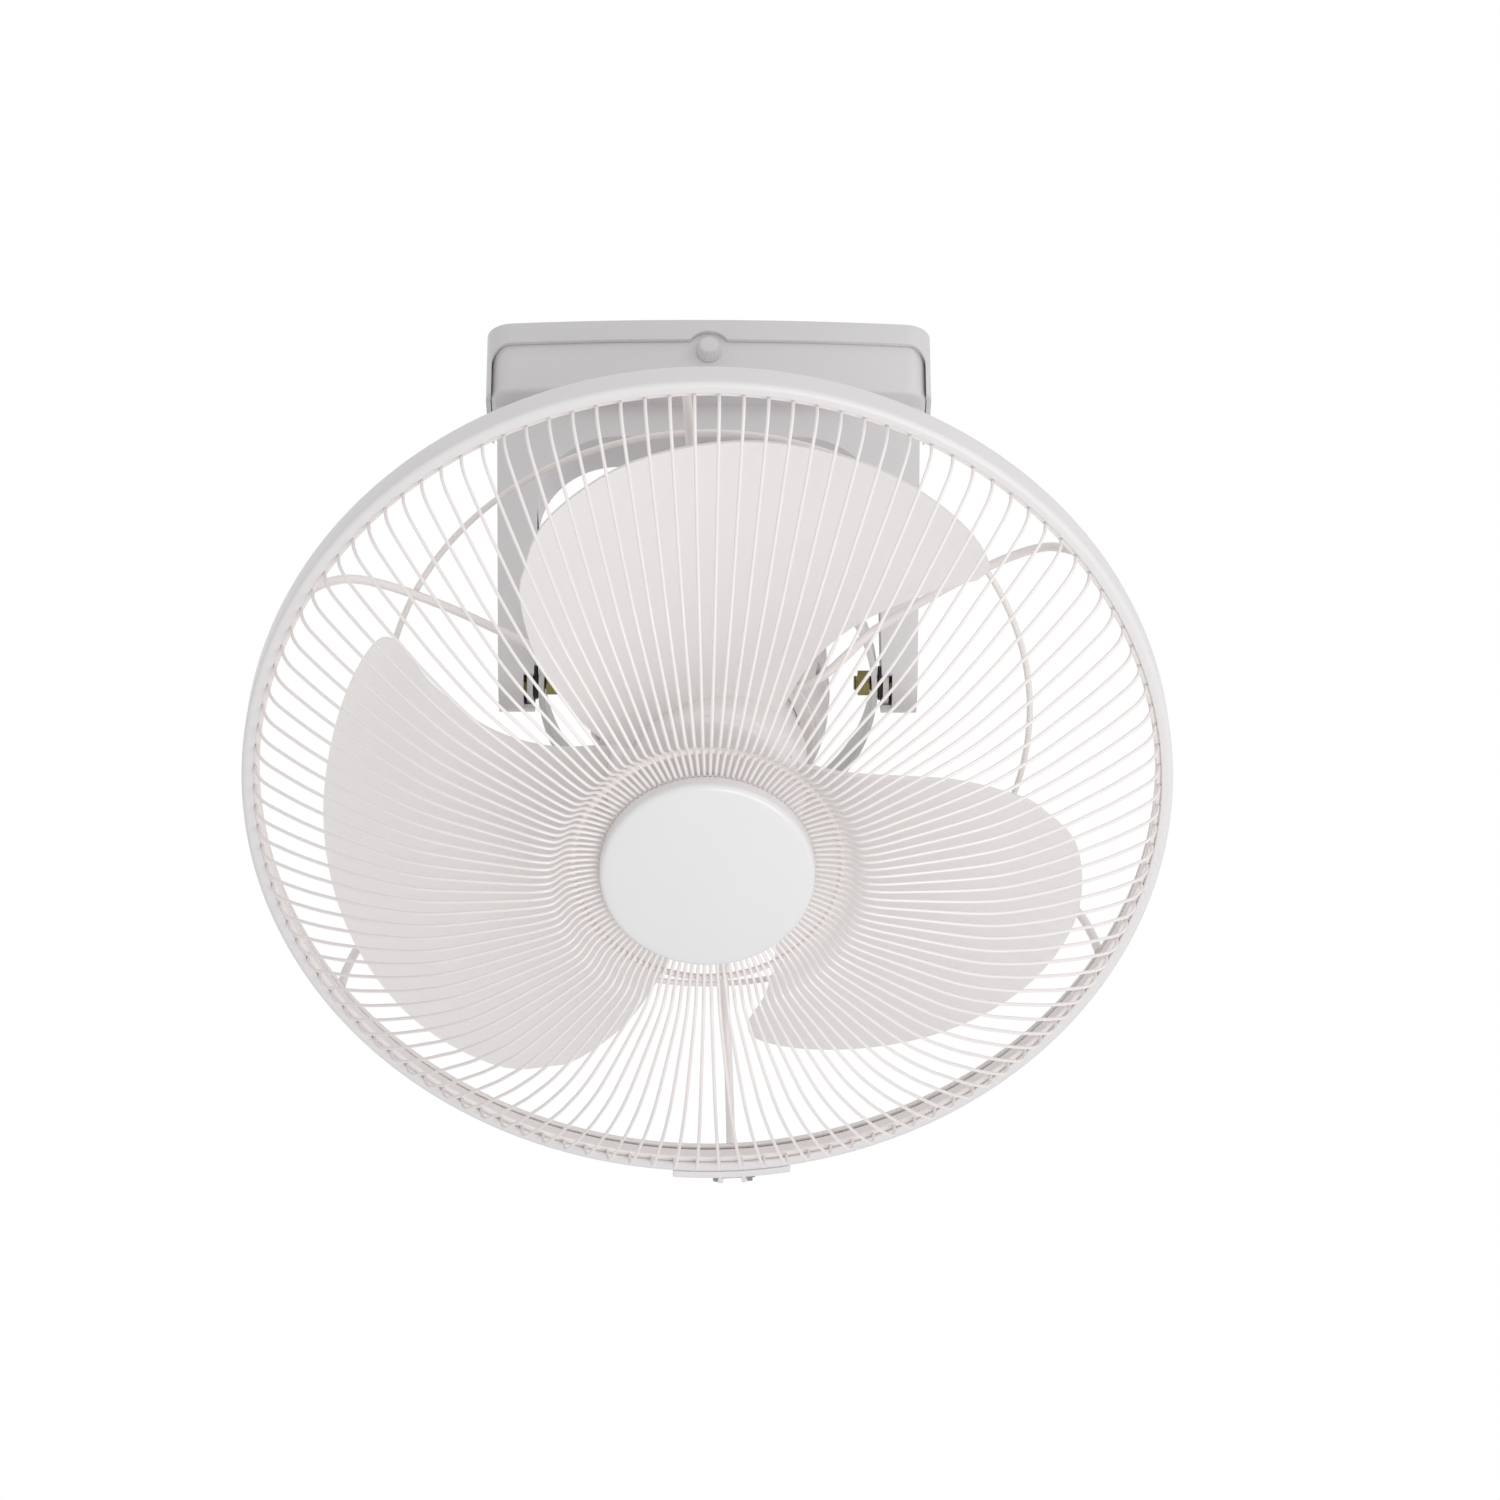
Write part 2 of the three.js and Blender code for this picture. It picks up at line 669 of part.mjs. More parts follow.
// A rod at each of the covers' screws.
function atScrews(radius, bottom, top) {
  return screwSpots.map(({ x, y }) => solid(rod(radius, bottom, top, 10).translate(x, y, 0)));
}

function motorRearCover() {
  const shell = solid(
    turned([
      [shaftBore, motorRear],
      [motorRadius - 7, motorRear],
      [motorRadius - 2, motorRear + 2],
      [motorRadius, motorRear + 7],
      [motorRadius, coverJoint],
      [bossRoot, coverJoint],
      [bossRoot, motorRear + 7],
      [motorRadius - 8, motorRear + coverWall],
      [bearingSeat + coverWall, motorRear + coverWall],
      [bearingSeat + coverWall, motorRear + coverWall + bearingWidth],
      [bearingSeat, motorRear + coverWall + bearingWidth],
      [bearingSeat, motorRear + coverWall],
      [shaftBore, motorRear + coverWall],
    ], 24),
  );
  const boss = rod(bossRadius, bossRoot - 4, bossEnd, 20);
  const bosses = [alongY(boss.clone()), alongY(boss.clone()).rotateZ(Math.PI)].map(solid);
  const bore = solid(alongY(rod(boltRadius + seatGap, -bossEnd - 1, bossEnd + 1, 16)));
  const posts = atScrews(smallScrewRadius * 2, motorRear + 3, coverJoint);
  const tapped = atScrews(smallScrewRadius + seatGap, motorRear + 12, coverJoint + 1);
  const nearBoss = (angle) => Math.abs((angle % 180) - 90) < 18;
  const slits = vents(motorRear + 18, ventCount, nearBoss);
  return cut(join([shell, ...bosses, ...posts]), [bore, ...tapped, ...slits]);
}

function motorFrontCover() {
  const foot = coverJoint + seatGap;
  const shell = solid(
    turned([
      [bossRoot, foot],
      [motorRadius, foot],
      [motorRadius, foot + 8],
      [motorRadius - 3, foot + 28],
      [shoulderRadius, shoulderPlace - 2],
      [shoulderRadius - 1, shoulderPlace],
      [noseRadius, shoulderPlace],
      [noseRadius, motorFront - 4],
      [noseRadius - 4, motorFront],
      [shaftBore, motorFront],
      [shaftBore, motorFront - coverWall],
      [bearingSeat, motorFront - coverWall],
      [bearingSeat, motorFront - coverWall - bearingWidth],
      [bearingSeat + coverWall, motorFront - coverWall - bearingWidth],
      [bearingSeat + coverWall, motorFront - coverWall],
      [noseRadius - coverWall, motorFront - coverWall],
      [noseRadius - coverWall, shoulderPlace - coverWall],
      [shoulderRadius - coverWall - 1, shoulderPlace - coverWall],
      [bossRoot, foot + 8],
    ], 24),
  );
  const posts = atScrews(smallScrewRadius * 2, foot, foot + screwSeat + 2);
  const holes = atScrews(smallScrewRadius + seatGap, foot - 1, motorFront);
  const recesses = atScrews(smallScrewRadius * 2 + seatGap, foot + screwSeat, motorFront);
  const nearScrew = (angle) => screwAngles.some((screw) => Math.abs(angle - screw) < 12);
  const slits = vents(foot + 17, ventCount, nearScrew);
  return cut(join([shell, ...posts]), [...holes, ...recesses, ...slits]);
}

addNode(head, "motor_rear_cover", motorRearCover(), castAluminium());
addNode(head, "motor_front_cover", motorFrontCover(), castAluminium());

screwSpots.forEach(({ x, y }, i) => {
  const length = coverScrewLength;
  const screw = bolt({ radius: smallScrewRadius, head: 3, round: 3.6, length }).rotate([180, 0, 0]);
  const top = coverJoint + screwSeat + 2 * seatGap;
  addNode(head, `cover_screw_${i + 1}`, screw.translate([x, y, top]), bareSteel());
});

// A plain ring about the shaft.
function ring(inner, outer, bottom, top, segments = 20) {
  return solid(turned([[inner, bottom], [outer, bottom], [outer, top], [inner, top]], segments));
}

const coreRear = statorPlace - statorHalf;
const coreFront = statorPlace + statorHalf;

function statorCore() {
  const slots = [];
  const count = 12;
  for (let i = 0; i < count; i++) {
    const low = [statorInner - 1, -2.5, coreRear - 1];
    const groove = box(low, [statorInner + 13, 2.5, coreFront + 1]);
    slots.push(solid(groove.rotateZ((i / count) * 2 * Math.PI)));
  }
  return cut(ring(statorInner, statorOuter, coreRear, coreFront, 24), slots);
}

addNode(head, "stator_core", statorCore(), siliconSteel());
const windingBands = [
  ["rear", coreRear - windingHeight, coreRear],
  ["front", coreFront, coreFront + windingHeight],
];
for (const [side, bottom, top] of windingBands) {
  const profile = [
    [statorInner + 3, bottom + 3],
    [statorInner + 6, bottom],
    [statorOuter - 8, bottom],
    [statorOuter - 5, bottom + 3],
    [statorOuter - 5, top - seatGap],
    [statorInner + 3, top - seatGap],
  ];
  const lift = side === "front" ? seatGap : 0;
  addNode(head, `winding_${side}`, solid(turned(profile, 20).translate(0, 0, lift)), copper());
}

const bearingFeet = {
  rear: motorRear + coverWall + seatGap,
  front: motorFront - coverWall - seatGap - bearingWidth,
};
for (const [side, foot] of Object.entries(bearingFeet)) {
  const sleeve = ring(shaftBore, bearingRadius, foot, foot + bearingWidth);
  addNode(head, `bearing_${side}`, sleeve, bareSteel());
}

const rotorOuter = statorInner - airGap;
const rotor = ring(shaftRadius + seatGap, rotorOuter, coreRear - 3, coreFront + 3);
addNode(head, "rotor_core", rotor, siliconSteel());

// ---- Gear case: motor worm, cross shaft, idler, and the output wheel with the orbit crank ----

const caseMouth = motorRear - seatGap;
const caseFoot = caseMouth - gearCaseDepth;
const crossY = wormRadius + wheelRadius + gearGap;
const crossZ = caseMouth - wheelRadius - 1;
const idlerX = crossWormPlace;
const idlerY = crossY - crossWormRadius - idlerRadius - gearGap;
const idlerZ = crossZ;
const idlerDistance = Math.hypot(idlerX, idlerY);
const outputRadius = idlerDistance - pinionRadius - gearGap;
const outputFront = crossZ - wheelRadius - 1;
const outputRear = caseFoot + 1;
const lidFace = caseFoot - seatGap - lidThickness;
const crankFront = lidFace - 1;

function gearCase() {
  const inner = gearCaseRadius - gearCaseWall;
  const cup = solid(
    turned([
      [inner, caseFoot],
      [gearCaseRadius, caseFoot],
      [gearCaseRadius, caseMouth - 3],
      [gearCaseRadius + 2, caseMouth],
      [wormRadius + runningGap, caseMouth],
      [wormRadius + runningGap, caseMouth - 1],
      [inner, caseMouth - 1],
    ], 24),
  );
  const socketOuter = crossShaftRadius + 2;
  const sockets = [-1, 1].map((side) => {
    const start = Math.sqrt(inner ** 2 - crossY ** 2) - 2;
    const block = alongX(rod(socketOuter, start, start + gearCaseWall * 2, 12));
    const limits = solid(rod(gearCaseRadius - seatGap, caseFoot, caseMouth, 24));
    return solid(block.scale(side, 1, 1).translate(0, crossY, crossZ)).intersect(limits);
  });
  const limit = Math.sqrt(inner ** 2 - crossY ** 2) + 0.5;
  const shaftWay = alongX(rod(crossShaftRadius + seatGap, -limit, limit, 12));
  const postFoot = idlerZ + idlerWidth / 2 + seatGap;
  const idlerPost = rod(idlerPostRadius, postFoot, caseMouth - 0.5, 10).translate(idlerX, idlerY, 0);
  const filled = join([cup, ...sockets, solid(idlerPost)]);
  return cut(filled, [solid(shaftWay.translate(0, crossY, crossZ))]);
}

addNode(head, "gear_case", gearCase(), whitePlastic());

const hubSleeve = shaftRadius + 2;
const lidHole = hubSleeve + runningGap;
const lid = ring(lidHole, gearCaseRadius, lidFace, caseFoot - seatGap, 24);
addNode(head, "gear_case_lid", lid, whitePlastic());

const shaftRearEnd = motorRear + 1;
const wormEnd = crossZ - 6;

// A worm along Z: shallow round threads on a plain core.
function worm(radius, start, end) {
  const turns = Math.max(1, Math.round((end - start) / wormPitch));
  const profile = [[0, start]];
  for (let i = 0; i <= turns * 2; i++) {
    const place = THREE.MathUtils.lerp(start, end, i / (turns * 2));
    profile.push([i % 2 ? radius : radius - toothDepth, place]);
  }
  profile.push([0, end]);
  return solid(turned(profile, 12));
}

function motorShaft() {
  const shaft = rod(shaftRadius, shaftRearEnd, hubFront - 1, 16);
  return join([solid(shaft), worm(wormRadius, wormEnd, shaftRearEnd + 2)]);
}

addNode(head, "motor_shaft", motorShaft(), bareSteel());

function crossShaft() {
  const reach = Math.sqrt((gearCaseRadius - gearCaseWall) ** 2 - crossY ** 2);
  const shaft = rod(crossShaftRadius, -reach, reach, 12);
  const wheel = prism(gearOutline(wheelRadius, gearTeeth, toothDepth), -2.5, 2.5);
  const half = idlerRadius * 0.6;
  const threads = worm(crossWormRadius, crossWormPlace - half, crossWormPlace + half);
  const whole = join([solid(shaft), solid(wheel), threads]);
  return whole.rotate([0, 90, 0]).translate([0, crossY, crossZ]);
}

addNode(head, "cross_shaft", crossShaft(), acetal());

function idlerGear() {
  const outline = gearOutline(idlerRadius, gearTeeth, toothDepth);
  const wheel = prism(outline, idlerZ - idlerWidth / 2, idlerZ + idlerWidth / 2);
  const pinion = prism(gearOutline(pinionRadius, pinionTeeth, toothDepth), outputRear, idlerZ);
  return join([solid(wheel), solid(pinion)]).translate([idlerX, idlerY, 0]);
}

addNode(head, "idler_gear", idlerGear(), acetal());

// The output wheel, its sleeve through the lid and the crank arm outside, in one piece.
const crankDrop = crankReach * Math.cos(radians(restTilt));
const crankThrow = crankReach * Math.sin(radians(restTilt));
const crankAngle = 90; // the crank points straight up the yoke at rest

function orbitCrank() {
  const outline = gearOutline(outputRadius, outputTeeth, toothDepth);
  const wheel = prism(outline, outputRear, outputFront);
  const sleeve = rod(hubSleeve, crankFront - crankThickness, outputFront - 0.5, 20);
  const arm = new THREE.Shape();
  arm.absarc(0, 0, hubSleeve + 3, Math.PI / 2, 1.5 * Math.PI);
  arm.absarc(crankThrow, 0, ballPinRadius + 4, -Math.PI / 2, Math.PI / 2);
  const plate = prism(arm, crankFront - crankThickness, crankFront, 10);
  const pinHole = rod(ballPinRadius + seatGap, crankFront - crankThickness - 1, crankFront + 1, 12);
  const whole = join([solid(wheel), solid(sleeve), solid(plate)]);
  return cut(whole, [solid(pinHole.translate(crankThrow, 0, 0))]).rotate([0, 0, crankAngle]);
}

addNode(head, "orbit_crank", orbitCrank(), bareSteel());

// The ball and its pin, riveted into the end of the crank.
function crankBall() {
  const ball = new THREE.SphereGeometry(ballRadius, 12, 8).translate(0, 0, -crankDrop);
  const pin = rod(ballPinRadius, -crankDrop, crankFront, 12);
  return join([solid(ball), solid(pin)]).translate([crankThrow, 0, 0]).rotate([0, 0, crankAngle]);
}

addNode(head, "crank_ball", crankBall(), bareSteel());

// ---- Blades ----

// Each blade's four edges, as heights along the shaft, angles and radii.
const leadAngle = through([
  [hubRadius, 5.5],
  [77, 11],
  [108, 11.5],
  [146, 5.5],
  [180, 0],
  [230, 0],
]);
const trailAngle = through([
  [hubRadius, 105],
  [73, 101.5],
  [100, 97],
  [127, 93],
  [157, 86.5],
  [178, 81],
  [230, 78],
]);
const leadHeight = through([[hubRadius, 89], [108, 83], [146, 79], [180, 79], [230, 79]]);
const trailHeight = through([
  [hubRadius, 113],
  [73, 128],
  [100, 137],
  [140, 138],
  [180, 138],
  [230, 136],
]);
// The tip's radius across a blade, from its leading to its trailing edge.
const tipRadius = through([
  [0, 175],
  [0.15, bladeRadius - 18],
  [0.4, bladeRadius - 4],
  [0.65, bladeRadius],
  [0.85, bladeRadius - 5],
  [0.95, bladeRadius - 15],
  [1, 175],
]);
const bladeCamber = 5; // how far a blade bulges forward between its edges

// A point of a blade's rear or front face, from the share of its width and of its length.
function bladePoint(across, along, lift) {
  const root = hubRadius - hubWall / 2;
  const radius = THREE.MathUtils.lerp(root, tipRadius(across), along);
  const angle = THREE.MathUtils.lerp(leadAngle(radius), trailAngle(radius), across);
  const slope = THREE.MathUtils.lerp(leadHeight(radius), trailHeight(radius), across);
  const bulge = bladeCamber * 4 * across * (1 - across) * Math.min(1, along * 3);
  return polar([radius, slope + bulge + lift], angle);
}

// A thin closed sheet between two grids of points.
function sheet(columns, rows, pointAt) {
  const positions = [];
  const quad = (a, b, c, d) => {
    for (const point of [a, b, c, a, c, d]) positions.push(point.x, point.y, point.z);
  };
  const grid = (lift) => {
    return Array.from({ length: columns + 1 }, (_, i) => {
      return Array.from({ length: rows + 1 }, (_, j) => pointAt(i / columns, j / rows, lift));
    });
  };
  const [low, high] = [grid(-0.5), grid(0.5)];
  for (let i = 0; i < columns; i++) {
    for (let j = 0; j < rows; j++) {
      quad(high[i][j], high[i + 1][j], high[i + 1][j + 1], high[i][j + 1]);
      quad(low[i][j], low[i][j + 1], low[i + 1][j + 1], low[i + 1][j]);
    }
    quad(low[i][0], low[i + 1][0], high[i + 1][0], high[i][0]);
    quad(low[i][rows], high[i][rows], high[i + 1][rows], low[i + 1][rows]);
  }
  for (let j = 0; j < rows; j++) {
    quad(low[0][j], high[0][j], high[0][j + 1], low[0][j + 1]);
    quad(low[columns][j], low[columns][j + 1], high[columns][j + 1], high[columns][j]);
  }
  const geometry = new THREE.BufferGeometry();
  return geometry.setAttribute("position", new THREE.Float32BufferAttribute(positions, 3));
}

function bladeSet() {
  const hub = solid(
    turned([
      [hubRadius, hubRear],
      [hubRadius, hubFront - 9],
      [hubRadius - 3, hubFront - 3.5],
      [hubRadius - 9, hubFront],
      [shaftRadius + seatGap, hubFront],
      [shaftRadius + seatGap, hubRear + 4],
      [hubBossRadius, hubRear + 4],
      [hubBossRadius, hubFront - hubWall],
      [hubRadius - 10, hubFront - hubWall],
      [hubRadius - hubWall, hubFront - 10],
      [hubRadius - hubWall, hubRear],
    ], 26),
  );
  const facePoint = (across, along, side) => bladePoint(across, along, side * bladeThickness);
  const blade = solid(sheet(10, 4, facePoint));
  const blades = Array.from({ length: bladeCount }, (_, i) => {
    return blade.rotate([0, 0, bladeStart + (i * 360) / bladeCount]);
  });
  return join([hub, ...blades]);
}

addNode(head, "blade_set", bladeSet(), bladePlastic());

// The winged nut that holds the blades on the shaft.
function bladeNut() {
  const foot = hubFront + seatGap;
  const dome = turned([
    [0, foot],
    [bladeNutRadius, foot],
    [bladeNutRadius, foot + 4],
    [bladeNutRadius - 3, foot + bladeNutLength - 2],
    [bladeNutRadius - 6, foot + bladeNutLength],
    [0, foot + bladeNutLength],
  ], 24);
  const wingReach = bladeNutRadius + 4;
  const grip = box([-wingReach, -2, foot], [wingReach, 2, foot + bladeNutLength - 4]);
  return join([solid(dome), solid(grip)]);
}

addNode(head, "blade_nut", bladeNut(), bladePlastic());

// ---- Guards ----

const bandLip = bandRadius - lipWidth;
const rimOuter = bandLip + seatGap;
const rimInner = rimOuter - rimWidth;
const rimMiddle = rimInner + rimWidth / 2;
const bandInner = bandRadius - bandWall;
const frontRimTop = bandFront - bandWall - seatGap;
const rearRimFoot = bandRear + bandWall + seatGap;
const guardRingFoot = bandFront + guardDepth - 18;
const capFoot = guardRingFoot + guardRingSheet + seatGap;

// The band that holds the two guards together, seen in section: a wall with a lip at each end.
function guardBand() {
  const section = [
    [bandLip, bandRear],
    [bandRadius, bandRear],
    [bandRadius, bandFront - bandShoulder],
    [bandRadius - bandShoulder, bandFront],
    [bandLip, bandFront],
    [bandLip, bandFront - bandWall],
    [bandInner - 2, bandFront - bandWall],
    [bandInner, bandFront - bandShoulder],
    [bandInner, bandRear + bandWall],
    [bandLip, bandRear + bandWall],
  ];
  return solid(turned(section, 44));
}

addNode(head, "guard_band", guardBand(), paintedSteel());

// The front guard's wires run from the rim, through the band's lip, over a dome and down a step
// to the ring behind the cap.
const wireStations = [
  [rimMiddle, frontRimTop - 1.5],
  [bandLip - wireRadius - 1.3, bandFront + 1],
  [bandRadius - 29, bandFront + guardDepth * 0.357],
  [bandRadius - 81, bandFront + guardDepth * 0.831],
  [guardRingOuter + guardStep, bandFront + guardDepth],
  [guardRingOuter + 13, bandFront + guardDepth - 11],
  [guardRingOuter - 1.5, guardRingFoot + guardRingSheet / 2 - 0.4],
];

function frontGuard() {
  const rim = ring(rimInner, rimOuter, frontRimTop - rimHeight, frontRimTop, 40);
  const centreTop = guardRingFoot + guardRingSheet;
  const centre = ring(guardRingInner, guardRingOuter, guardRingFoot, centreTop, 30);
  const strand = solid(wire(wireStations.map((station) => polar(station, 0)), wireRadius, 3));
  const strands = Array.from({ length: wireCount }, (_, i) => {
    return strand.rotate([0, 0, guardTurn + (i + 0.5) * (360 / wireCount)]);
  });
  return join([rim, centre, ...strands]);
}

addNode(head, "front_guard", frontGuard(), coatedWire());

// A closed round hoop about the shaft.
function hoop(radius, height, thickness, sides, segments) {
  const section = [];
  for (let i = 0; i < sides; i++) {
    const angle = ((i + 0.5) / sides) * 2 * Math.PI;
    section.push([radius + thickness * Math.cos(angle), height + thickness * Math.sin(angle)]);
  }
  return solid(turned(section, segments));
}

const supportDrop = wireRadius + supportWireRadius + seatGap;
const supportHeight = guardRingFoot + 4 - supportDrop;
const supportHoop = hoop(supportRingRadius, supportHeight, supportWireRadius, 4, 36);
addNode(head, "support_ring", supportHoop, coatedWire());

// The rear guard: a plate clamped on the motor's shoulder, six arched spokes on it and a rim.
const plateFoot = shoulderPlace + seatGap;
const plateTop = plateFoot + guardPlateSheet;
const spokeRest = plateTop + spokeRadius + seatGap;
const spokeLow = 38; // height of the spokes' lowest stretch
const spokeStations = [
  [shoulderRadius - 3, spokeRest],
  [shoulderRadius + 9, spokeRest - 0.4],
  [shoulderRadius + 18, spokeRest - 2.4],
  [shoulderRadius + 28, spokeRest - 8.4],
  [shoulderRadius + 43, spokeLow + 2.5],
  [bandRadius - 86, spokeLow],
  [bandRadius - 54, spokeLow + 4.5],
  [bandRadius - 32, spokeLow + 14.5],
  [bandRadius - 17, spokeLow + 33],
  [rimMiddle - 2.6, bandRear - 4],
  [rimMiddle - 2.2, rearRimFoot - seatGap],
];

const guardPlate = ring(noseRadius + seatGap, shoulderRadius - 1, plateFoot, plateTop, 24);
addNode(head, "rear_guard_plate", guardPlate, coatedWire());
const rearRim = ring(rimInner, rimOuter, rearRimFoot, rearRimFoot + rimHeight, 40);
addNode(head, "rear_guard_rim", rearRim, coatedWire());
const spoke = solid(wire(spokeStations.map((station) => polar(station, 0)), spokeRadius, 5));
for (let i = 0; i < spokeCount; i++) {
  const turn = guardTurn + 90 + (i * 360) / spokeCount;
  addNode(head, `rear_spoke_${i + 1}`, spoke.rotate([0, 0, turn]), coatedWire());
}

const rearRingHeight = spokeLow + 1.6 - spokeRadius - rearWireRadius - seatGap;
const rearHoop = hoop(rearRingRadius, rearRingHeight, rearWireRadius, 4, 48);
addNode(head, "rear_guard_ring", rearHoop, coatedWire());

// ---- Front cap ----

function frontCap() {
  const face = capFoot + capRim + 2;
  const shell = solid(
    turned([
      [0, face + capCrown],
      [capRadius * 0.5, face + capCrown * 0.8],
      [capRadius - 3, face],
      [capRadius - 0.6, face - 1.4],
      [capRadius, face - 3.5],
      [capRadius, capFoot],
      [capRadius - capWall, capFoot],
      [capRadius - capWall, face - 4],
      [0, face + capCrown - capWall - 1],
    ], 30),
  );
  // Three hooks pass through the guard's ring and hold the cap.
  const hookRadius = guardRingInner - 0.8;
  const hookFoot = guardRingFoot - 3.5;
  const arm = box([hookRadius - 2.5, -5, hookFoot], [hookRadius, 5, face - 1]);
  const beak = box([hookRadius - 1, -5, hookFoot], [hookRadius + 1.6, 5, guardRingFoot - seatGap]);
  const hook = join([solid(arm), solid(beak)]);
  const hooks = [0, 1, 2].map((i) => hook.rotate([0, 0, 90 + i * 120]));
  return join([shell, ...hooks]);
}

addNode(head, "front_cap", frontCap(), whitePlastic());

// ---- Band clip ----

const clipInner = bandRadius + seatGap;
const clipOuter = clipInner + clipThickness;
const clipBore = clipOuter + clipLugHeight / 2 + 0.5; // radius of the clip screw's axis
const seamAngle = guardTurn + 270;

function bandClip() {
  const [start, end] = [-clipAngle / 2, clipAngle / 2].map(radians);
  const saddle = new THREE.Shape();
  saddle.absarc(0, 0, clipOuter, start, end);
  saddle.absarc(0, 0, clipInner, end, start, true);
  const wall = solid(prism(saddle, bandRear + 1.5, bandFront - 1, 10));
  const middle = (bandRear + bandFront) / 2;
  const reach = clipOuter + clipLugHeight;
  const lugs = [-1, 1].map((side) => {
    const [near, far] = [clipLugGap / 2, clipLugGap / 2 + clipLugSheet].map((y) => side * y);
    const [left, right] = [Math.min(near, far), Math.max(near, far)];
    return solid(box([clipOuter - 1, left, bandRear + 3], [reach, right, bandFront - 3]));
  });
  const hole = alongY(rod(smallScrewRadius + seatGap, -2 * clipLugGap, 2 * clipLugGap, 12));
  const bore = solid(hole.translate(clipBore, 0, middle));
  return cut(join([wall, ...lugs]), [bore]).rotate([0, 0, seamAngle]);
}

addNode(head, "band_clip", bandClip(), paintedSteel());

const clipFace = clipLugGap / 2 + clipLugSheet + seatGap;

function clipPlace(shape) {
  const place = [clipBore, 0, (bandRear + bandFront) / 2];
  return shape.rotate([-90, 0, 0]).translate(place).rotate([0, 0, seamAngle]);
}

const clipScrewLength = 2 * clipFace + 4.5;
const clipScrew = bolt({ radius: smallScrewRadius, head: 2.6, round: 3.6, length: clipScrewLength });
addNode(head, "clip_screw", clipPlace(clipScrew.translate([0, 0, -clipFace])), bareSteel());
const nutBore = solid(rod(smallScrewRadius + seatGap, 0, clipScrewLength, 12));
const clipNut = solid(hexagon(7, clipFace, clipFace + 3)).subtract(nutBore);
addNode(head, "clip_nut", clipPlace(clipNut), bareSteel());

export default fan;
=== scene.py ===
import json
import math

import bmesh
import bpy
from mathutils import Matrix, Vector


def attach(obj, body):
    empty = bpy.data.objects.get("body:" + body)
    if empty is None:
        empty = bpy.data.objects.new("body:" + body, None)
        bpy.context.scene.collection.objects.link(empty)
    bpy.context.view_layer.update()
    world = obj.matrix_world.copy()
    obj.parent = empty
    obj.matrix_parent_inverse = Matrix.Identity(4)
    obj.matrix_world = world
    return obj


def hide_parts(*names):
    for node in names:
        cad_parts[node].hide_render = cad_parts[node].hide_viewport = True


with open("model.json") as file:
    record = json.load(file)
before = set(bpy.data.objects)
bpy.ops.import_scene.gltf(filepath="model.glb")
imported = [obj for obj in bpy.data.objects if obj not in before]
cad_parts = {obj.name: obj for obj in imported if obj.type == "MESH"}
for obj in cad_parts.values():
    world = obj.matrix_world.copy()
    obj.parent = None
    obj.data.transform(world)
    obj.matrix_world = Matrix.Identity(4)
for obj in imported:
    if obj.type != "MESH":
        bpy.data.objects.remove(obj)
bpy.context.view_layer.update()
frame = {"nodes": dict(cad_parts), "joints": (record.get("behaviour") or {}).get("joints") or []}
nodes = frame["nodes"]
mm = 0.001
print("frame loaded")

# The head's own frame: origin at the gimbal centre, +Z forward along the fan's shaft.
joints = {joint["name"]: joint for joint in frame["joints"]}
gimbalCentre = Vector(joints["ring_tilt"]["pos_m"])
acrossAxis = Vector(joints["ring_tilt"]["axis"])
swingAxis = Vector(joints["head_swing"]["axis"])
shaftAxis = Vector(joints["rotor_spin"]["axis"])
headPlace = Matrix((acrossAxis, swingAxis, shaftAxis)).transposed().to_4x4()
headPlace.translation = gimbalCentre
standing = Matrix.Identity(4)


def linked(name, data):
    result = bpy.data.objects.new(name, data)
    bpy.context.scene.collection.objects.link(result)
    return result


# ---- Camera: the place and direction fitted to the outlines in the photograph ----

view = {
    "distance": 2.606,  # metres from the gimbal centre
    "rise": 29.146,  # degrees by which it looks up
    "yaw": -0.489,
    "pitch": -0.78,
    "roll": -0.153,
    "focalPixels": 4951.5,
    "framePixels": 1500,
}


def makeCamera(place):
    rise = math.radians(place["rise"])
    ahead = Vector((0, math.cos(rise), math.sin(rise)))
    right = Vector((1, 0, 0))
    up = right.cross(ahead)
    spot = gimbalCentre - ahead * place["distance"]
    turn = Matrix.Rotation(math.radians(place["yaw"]), 3, up)
    ahead, right = turn @ ahead, turn @ right
    turn = Matrix.Rotation(math.radians(place["pitch"]), 3, right)
    ahead, up = turn @ ahead, turn @ up
    turn = Matrix.Rotation(math.radians(place["roll"]), 3, ahead)
    up, right = turn @ up, turn @ right
    data = bpy.data.cameras.new("photoCamera")
    data.sensor_width = 36
    data.lens = place["focalPixels"] / place["framePixels"] * data.sensor_width
    data.clip_end = 50
    camera = linked("photoCamera", data)
    camera.matrix_world = Matrix((right, up, -ahead)).transposed().to_4x4()
    camera.matrix_world.translation = spot
    bpy.context.scene.camera = camera


makeCamera(view)
bpy.context.scene.view_settings.view_transform = "Standard"

# ---- Materials ----


def linear(hexColour):
    values = [int(hexColour[i : i + 2], 16) / 255 for i in (1, 3, 5)]
    return [v / 12.92 if v <= 0.04045 else ((v + 0.055) / 1.055) ** 2.4 for v in values] + [1]


def addNode(tree, kind, settings=None, links=None):
    node = tree.nodes.new(kind)
    for name, value in (settings or {}).items():
        if isinstance(name, int) or name in node.inputs:
            node.inputs[name].default_value = value
        else:
            setattr(node, name, value)
    for name, source in (links or {}).items():
        tree.links.new(source, node.inputs[name])
    return node


def bareMaterial(name):
    material = bpy.data.materials.new(name)
    material.use_nodes = True
    tree = material.node_tree
    tree.nodes.clear()
    return material, tree


